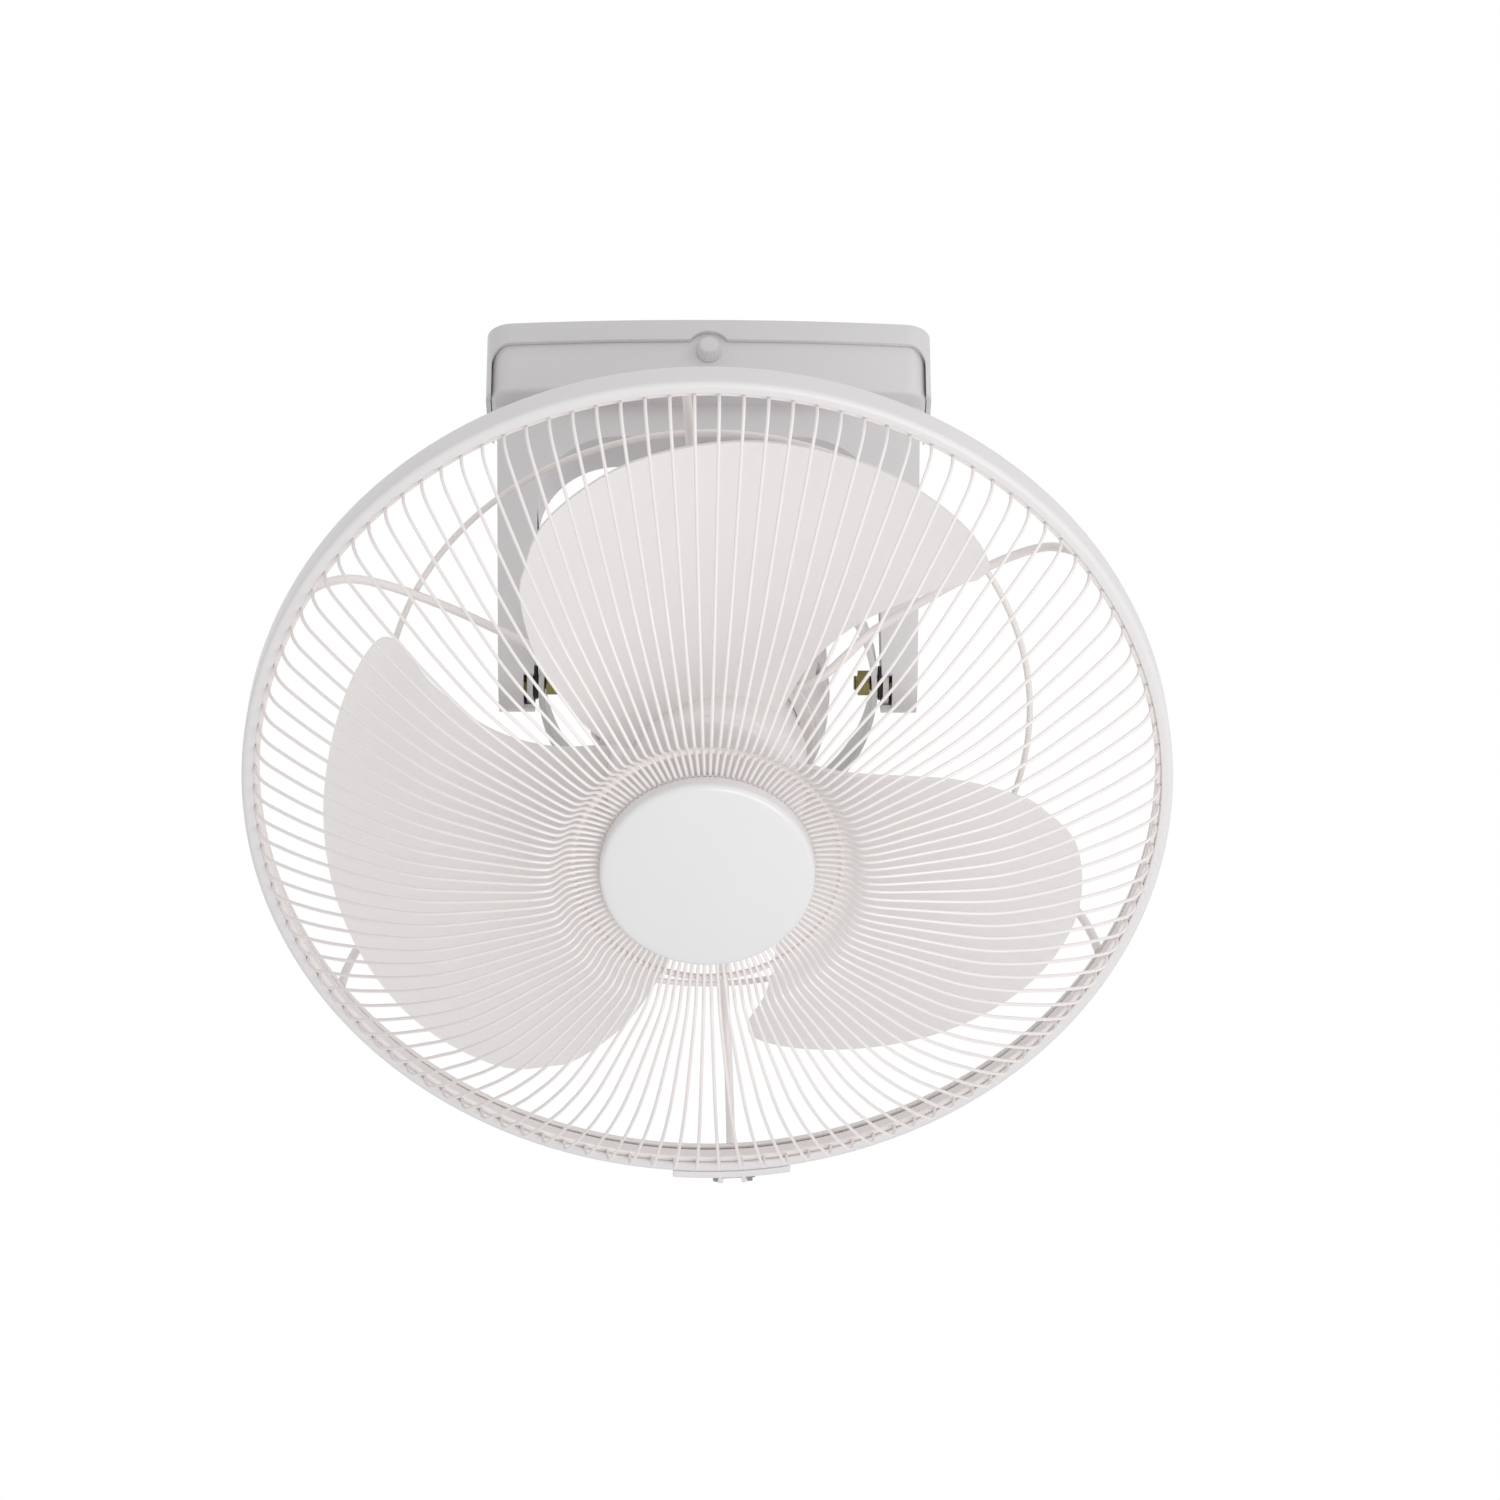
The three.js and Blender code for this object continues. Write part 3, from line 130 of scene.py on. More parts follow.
def mixedColour(tree, factor, low, high):
    mix = addNode(tree, "ShaderNodeMix", {"data_type": "RGBA"}, {0: factor})
    mix.inputs[6].default_value = linear(low)
    mix.inputs[7].default_value = linear(high)
    return mix.outputs[2]


def surfaceOf(tree, fixed, varied):
    surface = addNode(tree, "ShaderNodeBsdfPrincipled", fixed, varied)
    addNode(tree, "ShaderNodeOutputMaterial", None, {"Surface": surface.outputs["BSDF"]})


# A finish with soft colour drift, a fine relief and a little uneven gloss.
# grain is the real size of the relief in millimetres, drift the size of the colour's patches.
def makeFinish(name, **look):
    material, tree = bareMaterial(name)
    place = addNode(tree, "ShaderNodeTexCoord").outputs["Object"]
    patchSize = {"Scale": 1 / (look["drift"] * mm), "Detail": 3, "Roughness": 0.55}
    patches = addNode(tree, "ShaderNodeTexNoise", patchSize, {"Vector": place})
    tint = mixedColour(tree, patches.outputs["Fac"], look["colour"], look["other"])
    grainSize = {"Scale": 1 / (look["grain"] * mm), "Detail": 2}
    grain = addNode(tree, "ShaderNodeTexNoise", grainSize, {"Vector": place})
    reliefSize = {"Strength": look["relief"], "Distance": look["grain"] * mm * 0.25}
    relief = addNode(tree, "ShaderNodeBump", reliefSize, {"Height": grain.outputs["Fac"]})
    glossRange = {"To Min": look["rough"] - look["uneven"], "To Max": look["rough"] + look["uneven"]}
    gloss = addNode(tree, "ShaderNodeMapRange", glossRange, {"Value": patches.outputs["Fac"]})
    fixed = {
        "Metallic": look.get("metallic", 0),
        "Subsurface Weight": look.get("depth", 0),
        "Subsurface Scale": 0.002,
        "IOR": 1.5,
    }
    varied = {
        "Base Color": tint,
        "Roughness": gloss.outputs["Result"],
        "Normal": relief.outputs["Normal"],
    }
    surfaceOf(tree, fixed, varied)
    return material


# Moulded ABS of the yoke: satin, with a fine spark-eroded grain.
mouldedAbs = makeFinish(
    "mouldedAbs", colour="#e3e0e1", other="#dfdcdd", drift=60, grain=0.6, relief=0.16, rough=0.42, uneven=0.04
)
# Gloss ABS of the centre cap: polished tool, so the highlight stays sharp-edged.
polishedAbs = makeFinish(
    "polishedAbs", colour="#ecebec", other="#eae9ea", drift=40, grain=2.5, relief=0.02, rough=0.2, uneven=0.03
)
# Moulded AS resin of the blades: a little warmer, faint flow marks in its gloss.
mouldedBlade = makeFinish(
    "mouldedBlade", colour="#f3f0ef", other="#f0edec", drift=45, grain=3, relief=0.03, rough=0.3, uneven=0.05
)
# Powder-coated steel of the pan, the fork and the gimbal ring: slight orange peel.
powderCoat = makeFinish(
    "powderCoat", colour="#e0dedf", other="#dcdadb", drift=50, grain=1.4, relief=0.12, rough=0.38, uneven=0.05
)
# Painted steel strip of the guard's band and its clip: brighter, the coat runs smoother.
bandCoat = makeFinish(
    "bandCoat", colour="#ece9ea", other="#e8e5e6", drift=50, grain=1.6, relief=0.08, rough=0.34, uneven=0.05
)
# Epoxy-dipped wire: thick glossy coat, warm white.
dippedWire = makeFinish(
    "dippedWire", colour="#f6f1ef", other="#f3edeb", drift=20, grain=1.5, relief=0.06, rough=0.32, uneven=0.04
)
# Yellow-chromated zinc of the pivots: olive gold with a drift in its tone.
yellowZinc = makeFinish(
    "yellowZinc",
    colour="#b5aa74", other="#968d5c", drift=5, grain=0.5,
    relief=0.2, rough=0.36, uneven=0.08, metallic=0.85,
)
# Bright zinc-plated steel of shafts, screws and the orbit crank.
brightSteel = makeFinish(
    "brightSteel",
    colour="#b4b5b7", other="#a3a4a7", drift=8, grain=0.4,
    relief=0.15, rough=0.3, uneven=0.07, metallic=1,
)
# Nylon filled with black pigment, as in the washers.
blackNylon = makeFinish(
    "blackNylon", colour="#232325", other="#2b2b2d", drift=10, grain=0.8, relief=0.2, rough=0.5, uneven=0.06
)
# Painted aluminium casting of the motor covers: fine cast skin under the paint.
castPaint = makeFinish(
    "castPaint", colour="#dedbda", other="#d6d3d2", drift=25, grain=1.2, relief=0.3, rough=0.44, uneven=0.06
)
# Acetal of the gears: milky, waxy gloss.
naturalAcetal = makeFinish(
    "naturalAcetal",
    colour="#efece2", other="#ebe7dc", drift=15, grain=1,
    relief=0.05, rough=0.34, uneven=0.04, depth=0.15,
)


# Bands of fine lines across one axis, as in stacked sheets or wound wire.
def makeLayered(name, **look):
    material, tree = bareMaterial(name)
    place = addNode(tree, "ShaderNodeTexCoord").outputs["Object"]
    turned = addNode(tree, "ShaderNodeMapping", {"Rotation": look["turn"]}, {"Vector": place})
    layers = {"bands_direction": "Z", "Scale": 0.314 / (look["pitch"] * mm)}
    layers |= {"Distortion": look["wander"], "Detail": 2}
    lines = addNode(tree, "ShaderNodeTexWave", layers, {"Vector": turned.outputs["Vector"]})
    shade = mixedColour(tree, lines.outputs["Fac"], look["groove"], look["colour"])
    reliefSize = {"Strength": 0.6, "Distance": look["pitch"] * mm * 0.3}
    relief = addNode(tree, "ShaderNodeBump", reliefSize, {"Height": lines.outputs["Fac"]})
    fixed = {"Metallic": look["metallic"], "Roughness": look["rough"]}
    varied = {"Base Color": shade, "Normal": relief.outputs["Normal"]}
    surfaceOf(tree, fixed, varied)
    return material


headTurn = (-headPlace.to_euler().x, 0, 0)
# Stacked electrical sheet, its 0.5 mm layers drawn at 1 mm so that they show.
stackedSheet = makeLayered(
    "stackedSheet", colour="#8b8d92", groove="#55575c", pitch=1, wander=0, turn=headTurn, metallic=0.8, rough=0.4
)
# Enamelled copper wire of the windings, 0.5 mm wire drawn at 1.2 mm.
enamelledCopper = makeLayered(
    "enamelledCopper",
    colour="#b8713c", groove="#6d3817", pitch=1.2, wander=1.5, turn=headTurn, metallic=0.7, rough=0.35,
)
print("materials made")

# ---- Studio: pale floor under the fan, white room behind it, soft lamps ----

studio = {
    "floorDrop": 2.4,  # metres from the ceiling face
    "floorHalf": 8,
    "floorColour": "#f4f4f4",
    "roomLight": 0.66,
    "roomColour": "#ffffff",
    "keyPower": 28,
    "keyPlace": (0.8, -1.5, -2.1),
    "keySize": 1.6,
    "fillPower": 7,
    "fillPlace": (1.9, -1.9, 0.5),
    "fillSize": 0.9,
}


def makeStudio(place):
    world = bpy.data.worlds.new("whiteRoom")
    bpy.context.scene.world = world
    world.use_nodes = True
    tree = world.node_tree
    tree.nodes.clear()
    rays = addNode(tree, "ShaderNodeLightPath")
    larger = {"operation": "MAXIMUM"}
    direct = {0: rays.outputs["Is Camera Ray"], 1: rays.outputs["Is Glossy Ray"]}
    seen = addNode(tree, "ShaderNodeMath", larger, direct)
    anySeen = addNode(tree, "ShaderNodeMath", larger, {0: seen.outputs[0], 1: rays.outputs["Is Transmission Ray"]})
    levels = {"To Min": place["roomLight"], "To Max": 1.0}
    strength = addNode(tree, "ShaderNodeMapRange", levels, {"Value": anySeen.outputs[0]})
    white = {"Color": linear(place["roomColour"])}
    room = addNode(tree, "ShaderNodeBackground", white, {"Strength": strength.outputs["Result"]})
    addNode(tree, "ShaderNodeOutputWorld", None, {"Surface": room.outputs["Background"]})
    for name in ("key", "fill"):
        light = bpy.data.lights.new(name + "Lamp", "AREA")
        light.energy = place[name + "Power"]
        light.size = place[name + "Size"]
        lamp = linked(name + "Lamp", light)
        lamp.location = place[name + "Place"]
        aim = gimbalCentre - lamp.location
        lamp.rotation_euler = aim.to_track_quat("-Z", "Y").to_euler()
    half, drop = place["floorHalf"], -place["floorDrop"]
    floorMesh = bpy.data.meshes.new("paleFloor")
    corners = [(-half, -half, drop), (half, -half, drop), (half, half, drop), (-half, half, drop)]
    floorMesh.from_pydata(corners, [], [(0, 1, 2, 3)])
    floor = linked("paleFloor", floorMesh)
    material, tree = bareMaterial("paleFloor")
    matt = addNode(tree, "ShaderNodeBsdfDiffuse", {"Color": linear(place["floorColour"])})
    addNode(tree, "ShaderNodeOutputMaterial", None, {"Surface": matt.outputs["BSDF"]})
    floorMesh.materials.append(material)


makeStudio(studio)
print("studio made")

# ---- Tools for making pieces ----

smoothAngle = math.radians(32)
fitGap = 0.3  # millimetres between parts that rest on each other


# Puts a finished mesh in its place, with its object at the origin.
def finishPiece(name, mesh, material, body, stands, place=headPlace):
    mesh.transform(place)
    mesh.materials.clear()
    mesh.materials.append(material)
    mesh.polygons.foreach_set("use_smooth", [True] * len(mesh.polygons))
    mesh.set_sharp_from_angle(angle=smoothAngle)
    mesh.name = name
    piece = linked(name, mesh)
    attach(piece, body)
    if stands:
        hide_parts(*stands)
    return piece


def meshOf(bm, outward=True):
    bmesh.ops.remove_doubles(bm, verts=bm.verts, dist=1e-7)
    if outward:
        bmesh.ops.recalc_face_normals(bm, faces=bm.faces)
    mesh = bpy.data.meshes.new("piece")
    bm.to_mesh(mesh)
    bm.free()
    return mesh


# A closed half profile with its corners rounded; each point is (radius, height, rounding).
def softened(points, steps=5):
    result = []
    count = len(points)
    for i, point in enumerate(points):
        here = Vector(point[:2])
        rounding = point[2] if len(point) > 2 else 0
        if not rounding:
            result.append(here)
            continue
        before = Vector(points[i - 1][:2]) - here
        after = Vector(points[(i + 1) % count][:2]) - here
        reach = min(rounding, before.length * 0.49, after.length * 0.49)
        start, end = here + before.normalized() * reach, here + after.normalized() * reach
        for k in range(steps + 1):
            t = k / steps
            result.append(start * (1 - t) ** 2 + here * 2 * t * (1 - t) + end * t**2)
    return result


# A closed body turned about Z, in millimetres.
def turned(points, segments=96, steps=5):
    profile = softened(points, steps)
    bm = bmesh.new()
    rings = []
    for i in range(segments):
        angle = 2 * math.pi * i / segments
        c, s = math.cos(angle) * mm, math.sin(angle) * mm
        rings.append([bm.verts.new((p.x * c, p.x * s, p.y * mm)) for p in profile])
    count = len(profile)
    for i in range(segments):
        one, two = rings[i], rings[(i + 1) % segments]
        for k in range(count):
            n = (k + 1) % count
            if profile[k].x < 1e-6 and profile[n].x < 1e-6:
                continue
            bm.faces.new((one[k], two[k], two[n], one[n]))
    bmesh.ops.remove_doubles(bm, verts=bm.verts, dist=1e-7)
    bmesh.ops.dissolve_degenerate(bm, dist=1e-7, edges=bm.edges)
    return meshOf(bm)


# A flat outline raised along Z.
def raised(outline, bottom, top):
    bm = bmesh.new()
    low = [bm.verts.new((x * mm, y * mm, bottom * mm)) for x, y in outline]
    high = [bm.verts.new((x * mm, y * mm, top * mm)) for x, y in outline]
    bm.faces.new(low)
    bm.faces.new(high)
    count = len(outline)
    for i in range(count):
        n = (i + 1) % count
        bm.faces.new((low[i], low[n], high[n], high[i]))
    return meshOf(bm)


def arc(x, y, radius, start, end, steps):
    angles = [math.radians(start + (end - start) * i / steps) for i in range(steps + 1)]
    return [(x + radius * math.cos(a), y + radius * math.sin(a)) for a in angles]


def boxMesh(low, high):
    outline = [(low[0], low[1]), (high[0], low[1]), (high[0], high[1]), (low[0], high[1])]
    return raised(outline, low[2], high[2])


def quarterTurn(axis, sign=1):
    return Matrix.Rotation(math.pi / 2 * sign, 4, axis)


# The mesh itself, moved by millimetres.
def moved(mesh, x=0, y=0, z=0):
    mesh.transform(Matrix.Translation((x * mm, y * mm, z * mm)))
    return mesh


def joined(meshes):
    bm = bmesh.new()
    for mesh in meshes:
        bm.from_mesh(mesh)
    result = bpy.data.meshes.new("joined")
    bm.to_mesh(result)
    bm.free()
    return result


def evaluatedMesh(piece):
    bpy.context.view_layer.update()
    evaluated = piece.evaluated_get(bpy.context.evaluated_depsgraph_get())
    return bpy.data.meshes.new_from_object(evaluated)


# The mesh after modifiers: each is (kind, settings), and a cutter or partner is given as a mesh.
def shaped(mesh, steps):
    piece = linked("work", mesh)
    helpers = []
    for kind, settings in steps:
        modifier = piece.modifiers.new(kind, kind)
        for name, value in settings.items():
            if name == "object":
                value = linked("helper", value)
                helpers.append(value)
            setattr(modifier, name, value)
    result = evaluatedMesh(piece)
    for each in [piece, *helpers]:
        bpy.data.objects.remove(each)
    return result


def cutWith(tool):
    return ("BOOLEAN", {"operation": "DIFFERENCE", "solver": "EXACT", "object": tool})


def joinWith(partner):
    return ("BOOLEAN", {"operation": "UNION", "solver": "EXACT", "object": partner})


def commonWith(partner):
    return ("BOOLEAN", {"operation": "INTERSECT", "solver": "EXACT", "object": partner})


def edgeRound(width, segments=3, angle=35):
    limit = {"limit_method": "ANGLE", "angle_limit": math.radians(angle)}
    return ("BEVEL", {"width": width * mm, "segments": segments, **limit})


# A smooth curve through points, as a list of points.
def smoothPath(points, perSpan=8):
    spots = [Vector(point) for point in points]
    ends = [spots[0] * 2 - spots[1], *spots, spots[-1] * 2 - spots[-2]]
    path = []
    for i in range(len(spots) - 1):
        a, b, c, d = ends[i : i + 4]
        for k in range(perSpan):
            t = k / perSpan
            path.append(
                (b * 2 + (c - a) * t + (a * 2 - b * 5 + c * 4 - d) * t**2 + (b * 3 - a - c * 3 + d) * t**3) / 2
            )
    return [*path, spots[-1]]


# A smooth value read off stations of (position, value).
def through(stations):
    path = smoothPath(stations, 16)

    def valueAt(position):
        if position <= path[0].x:
            return path[0].y
        for one, two in zip(path, path[1:]):
            if position <= two.x:
                return one.y + (two.y - one.y) * (position - one.x) / max(two.x - one.x, 1e-9)
        return path[-1].y

    return valueAt


def strandMesh(points):
    mesh = bpy.data.meshes.new("strand")
    places = [Vector(point) * mm for point in points]
    mesh.from_pydata(places, [(i, i + 1) for i in range(len(places) - 1)], [])
    return mesh


repeatInputs = {
    "Geometry": "Geometry",
    "Count": "Int",
    "Start Angle": "Float",
    "Wire Radius": "Float",
    "Wire Sides": "Int",
    "Material": "Material",
}


# Geometry Nodes: one strand or solid repeated about the shaft. A strand becomes a round wire first.
def makeRepeatTree(treeName, isWire):
    tree = bpy.data.node_groups.new(treeName, "GeometryNodeTree")
    sockets = {}
    for name, kind in repeatInputs.items():
        sockets[name] = tree.interface.new_socket(name, in_out="INPUT", socket_type="NodeSocket" + kind)
    tree.interface.new_socket("Geometry", in_out="OUTPUT", socket_type="NodeSocketGeometry")
    given = addNode(tree, "NodeGroupInput").outputs
    shape = given["Geometry"]
    if isWire:
        line = addNode(tree, "GeometryNodeMeshToCurve", None, {"Mesh": shape})
        size = {"Resolution": given["Wire Sides"], "Radius": given["Wire Radius"]}
        section = addNode(tree, "GeometryNodeCurvePrimitiveCircle", {"mode": "RADIUS"}, size)
        curves = {"Curve": line.outputs["Curve"], "Profile Curve": section.outputs["Curve"]}
        tube = addNode(tree, "GeometryNodeCurveToMesh", {"Fill Caps": True}, curves)
        shape = tube.outputs["Mesh"]
    spots = addNode(tree, "GeometryNodePoints", None, {"Count": given["Count"]})
    index = addNode(tree, "GeometryNodeInputIndex")
    step = addNode(tree, "ShaderNodeMath", {"operation": "DIVIDE", 0: 2 * math.pi}, {1: given["Count"]})
    angleParts = {0: index.outputs["Index"], 1: step.outputs[0], 2: given["Start Angle"]}
    angle = addNode(tree, "ShaderNodeMath", {"operation": "MULTIPLY_ADD"}, angleParts)
    turn = addNode(tree, "ShaderNodeCombineXYZ", None, {"Z": angle.outputs[0]})
    spread = {"Points": spots.outputs[0], "Instance": shape, "Rotation": turn.outputs["Vector"]}
    copies = addNode(tree, "GeometryNodeInstanceOnPoints", None, spread)
    solid = addNode(tree, "GeometryNodeRealizeInstances", None, {"Geometry": copies.outputs["Instances"]})
    coating = {"Geometry": solid.outputs["Geometry"], "Material": given["Material"]}
    painted = addNode(tree, "GeometryNodeSetMaterial", None, coating)
    addNode(tree, "NodeGroupOutput", None, {"Geometry": painted.outputs["Geometry"]})
    return tree, {name: socket.identifier for name, socket in sockets.items()}


wireTree, wireKeys = makeRepeatTree("wiresAboutShaft", True)
solidTree, solidKeys = makeRepeatTree("solidsAboutShaft", False)


# A mesh repeated about Z by the node tree, as one plain mesh.
def repeated(mesh, count, start, material, wire=0, sides=8):
    tree, keys = (wireTree, wireKeys) if wire else (solidTree, solidKeys)
    work = linked("work", mesh)
    modifier = work.modifiers.new("repeat", "NODES")
    modifier.node_group = tree
    modifier[keys["Count"]] = count
    modifier[keys["Start Angle"]] = math.radians(start)
    modifier[keys["Wire Radius"]] = wire * mm
    modifier[keys["Wire Sides"]] = sides
    modifier[keys["Material"]] = material
    result = evaluatedMesh(work)
    work.modifiers.clear()
    bpy.data.objects.remove(work)
    return result


def hoop(radius, height, thickness, segments=144):
    return turned([(radius + x, height + y) for x, y in arc(0, 0, thickness, 0, 330, 11)], segments)


def polar(radius, height, angle):
    a = math.radians(angle)
    return (radius * math.cos(a), radius * math.sin(a), height)


# ---- Guards ----

guard = {
    "turn": 3.2,  # degrees from the seam to straight down
    "bandRadius": 236, "bandRear": 95, "bandFront": 113.5, "bandWall": 2, "bandLip": 231,
    "frontLip": 229.9, "rimInner": 227.3, "rimWidth": 4, "rimOuter": 231.1, "rimDrop": 7.4,
    "wires": 120, "wireRadius": 0.85, "ringInner": 45, "ringOuter": 52.4, "ringFoot": 175.4,
    "ringSheet": 3.4, "supportRadius": 66.8, "supportHeight": 176.9, "supportWire": 1.6, "spokes": 6,
    "spokeRadius": 2.3, "rearRingRadius": 167.5, "rearRingHeight": 35.4, "rearWire": 1.6,
}


def makeBand(g):
    wall, lip, outer, frontLip = g["bandWall"], g["bandLip"], g["bandRadius"], g["frontLip"]
    rear, front = g["bandRear"], g["bandFront"]
    section = [
        (lip, rear, 0.9),
        (outer, rear, 2.2),
        (outer, front, 3.2),
        (frontLip, front, 0.9),
        (frontLip, front - wall, 0.9),
        (outer - wall, front - wall, 1.2),
        (outer - wall, rear + wall, 1.2),
        (lip, rear + wall, 0.9),
    ]
    finishPiece("guardBand", turned(section, 192), bandCoat, "head", ["guard_band"])


def makeFrontGuard(g):
    rimMiddle = g["rimInner"] + g["rimWidth"] / 2
    rimTop = g["bandFront"] - g["bandWall"] - fitGap
    profile = [
        (rimMiddle, rimTop - 1.5),
        *[(228.5, 114.5), (227.6, 119.5), (224.5, 125.5), (219.5, 131), (205, 143.5), (190, 154.5), (171, 167.4)],
        *[(142, 181.3), (97.5, 189.3), (82, 190.6), (76.5, 188.6), (71.5, 182.6), (65, 179.8)],
        (g["ringOuter"] - 1.5, g["ringFoot"] + g["ringSheet"] / 2),
    ]
    path = [(p.x, 0, p.y) for p in smoothPath(profile, 5)]
    start = g["turn"] + 180 / g["wires"]
    wires = repeated(strandMesh(path), g["wires"], start, dippedWire, g["wireRadius"], 8)
    low, near, far = rimTop - g["rimDrop"], g["rimInner"], g["rimOuter"]
    rim = turned([(near, low, 1), (far, low, 0.6), (far, rimTop, 0.4), (near, rimTop, 1.4)], 192)
    low, near, far = g["ringFoot"], g["ringInner"], g["ringOuter"]
    high = low + g["ringSheet"]
    centre = turned([(near, low, 0.8), (far, low, 1.2), (far, high, 1.2), (near, high, 0.8)], 120)
    finishPiece("guardWires", joined([wires, rim, centre]), dippedWire, "head", ["front_guard"])
    ring = hoop(g["supportRadius"], g["supportHeight"], g["supportWire"])
    finishPiece("supportHoop", ring, dippedWire, "head", ["support_ring"])


def makeRearGuard(g):
    rimMiddle = g["rimInner"] + g["rimWidth"] / 2
    rimFoot = g["bandRear"] + g["bandWall"] + fitGap
    profile = [
        *[(53.5, 56.8), (66, 58.2), (75, 56.2), (85, 50.2), (100, 41.5), (125, 39), (150, 38.5), (182, 42.5)],
        *[(204, 52.5), (219, 71), (226, 88), (227.2, 95.5)],
        (rimMiddle - 1.2, rimFoot + 2.2),
    ]
    path = [(p.x, 0, p.y) for p in smoothPath(profile, 6)]
    spokes = repeated(strandMesh(path), g["spokes"], g["turn"] + 90, dippedWire, g["spokeRadius"], 14)
    plate = turned([(47.8, 54.3, 0.5), (55.5, 54.3, 0.5), (55.5, 56.3, 0.8), (47.8, 56.3, 0.5)], 96)
    rim = hoop(rimMiddle, rimFoot + 1.6, 1.6, 192)
    rearNodes = ["rear_guard_plate", "rear_guard_rim", *[f"rear_spoke_{i + 1}" for i in range(g["spokes"])]]
    finishPiece("rearSpokes", joined([spokes, plate, rim]), dippedWire, "head", rearNodes)
    ring = hoop(g["rearRingRadius"], g["rearRingHeight"], g["rearWire"], 192)
    finishPiece("rearHoop", ring, dippedWire, "head", ["rear_guard_ring"])


makeBand(guard)
makeFrontGuard(guard)
makeRearGuard(guard)
print("guards made")

# ---- Centre cap ----

cap = {
    "radius": 53.6, "foot": 179.5, "rim": 6.5, "crown": 3, "wall": 2, "edge": 3, "hooks": 3,
    "hookRadius": 44.2, "hookReach": 6.5, "hookHalf": 5,
}


def makeCap(c):
    face = c["foot"] + c["rim"] + 2
    reach = c["radius"] - c["edge"] * 0.6
    dome = [(reach * i / 10, face + c["crown"] * (1 - (i / 10) ** 2)) for i in range(10)]
    under = [(x, z - c["wall"]) for x, z in reversed(dome)]
    outside = [(c["radius"] - 0.3, face - 0.3, c["edge"]), (c["radius"], c["foot"], 0.5)]
    inside = [(c["radius"] - c["wall"], c["foot"], 0.5), (c["radius"] - c["wall"], face - c["wall"] - 0.6, 1.5)]
    shell = turned([*dome, *outside, *inside, *under], 160)
    low, high = c["hookRadius"] - 2.5, c["hookRadius"]
    foot, half = c["foot"] - c["hookReach"], c["hookHalf"]
    arm = boxMesh((low, -half, foot), (high, half, face - 1))
    beak = boxMesh((low + 1.5, -half, foot), (high + 1.6, half, foot + 3))
    hook = shaped(arm, [joinWith(beak), edgeRound(0.4, 2)])
    hooks = repeated(hook, c["hooks"], 90, polishedAbs)
    finishPiece("centreCap", joined([shell, hooks]), polishedAbs, "head", ["front_cap"])


makeCap(cap)
print("cap made")

# ---- Blades, their hub and the nut ----

blades = {
    "count": 3, "start": 38.5, "thickness": 2.2, "radius": 203.2, "camber": 3, "hubRadius": 51,
    "hubRear": 76, "hubFront": 116, "hubWall": 2.5, "hubRibs": 6, "bore": 5.3, "seat": 11, "face": 17,
    "columns": 44, "rows": 30,
}


# A blade as a grid of its middle surface; it gets its thickness and round edges from modifiers.
def bladeMesh(b):
    hub, tip = b["hubRadius"], b["radius"]
    leadAngle = through([(hub, 6), (77, 12), (108, 10.8), (146, 4), (180, -2.6), (230, -4)])
    trailAngle = through([(hub, 105), (73, 101.3), (100, 96.8), (127, 93), (157, 87.3), (178, 83), (230, 80)])
    leadHeight = through([(hub, 86), (108, 84), (146, 77.5), (180, 68), (230, 66)])
    trailHeight = through([(hub, 114), (73, 130), (100, 136), (140, 138), (180, 136), (230, 135)])
    leadTip = [(0, 170), (0.025, 179.5), (0.1, 186), (0.24, 192.5), (0.42, 199.6)]
    tipRadius = through([*leadTip, (0.6, tip), (0.77, tip - 2.6), (0.9, 191), (0.96, 182), (1, 167)])
    bm = bmesh.new()
    grid = []
    for i in range(b["columns"] + 1):
        across = 0.5 - 0.5 * math.cos(math.pi * i / b["columns"])
        column = []
        for j in range(b["rows"] + 1):
            along = math.sin(math.pi / 2 * j / b["rows"])
            radius = hub - b["hubWall"] / 2 + (tipRadius(across) - hub + b["hubWall"] / 2) * along
            angle = leadAngle(radius) + (trailAngle(radius) - leadAngle(radius)) * across
            slope = leadHeight(radius) + (trailHeight(radius) - leadHeight(radius)) * across
            bulge = b["camber"] * 4 * across * (1 - across) * min(1, along * 3)
            column.append(bm.verts.new(Vector(polar(radius, slope + bulge, angle)) * mm))
        grid.append(column)
    for i in range(b["columns"]):
        for j in range(b["rows"]):
            bm.faces.new((grid[i][j], grid[i + 1][j], grid[i + 1][j + 1], grid[i][j + 1]))
    sheet = meshOf(bm)
    solidify = ("SOLIDIFY", {"thickness": b["thickness"] * mm, "offset": 0, "use_even_offset": True})
    return shaped(sheet, [solidify, edgeRound(0.8, 3, 60)])


def makeBlades(b):
    hub, rear, front, wall = b["hubRadius"], b["hubRear"], b["hubFront"], b["hubWall"]
    bore, seat, face = b["bore"], b["seat"], b["face"]
    outside = [(hub, rear, 1), (hub, front, 10), (face, front, 0), (face, front - 1.2, 0), (bore, front - 1.2, 0)]
    core = [(bore, rear + 4, 0.5), (seat, rear + 4, 0.5), (seat, front - wall - 0.6, 0)]
    shell = turned([*outside, *core, (hub - wall, front - wall, 8), (hub - wall, rear, 0.5)], 144)
    rib = boxMesh((10, -0.8, rear + 8), (hub - wall + 0.5, 0.8, front - wall + 0.3))
    ribs = repeated(rib, b["hubRibs"], 30, mouldedBlade)
    vanes = repeated(bladeMesh(b), b["count"], b["start"], mouldedBlade)
    finishPiece("bladeSet", joined([shell, ribs, vanes]), mouldedBlade, "rotor", ["blade_set"])


nut = {"radius": 14, "length": 15, "foot": 116.3, "wingReach": 4, "wingHalf": 2}


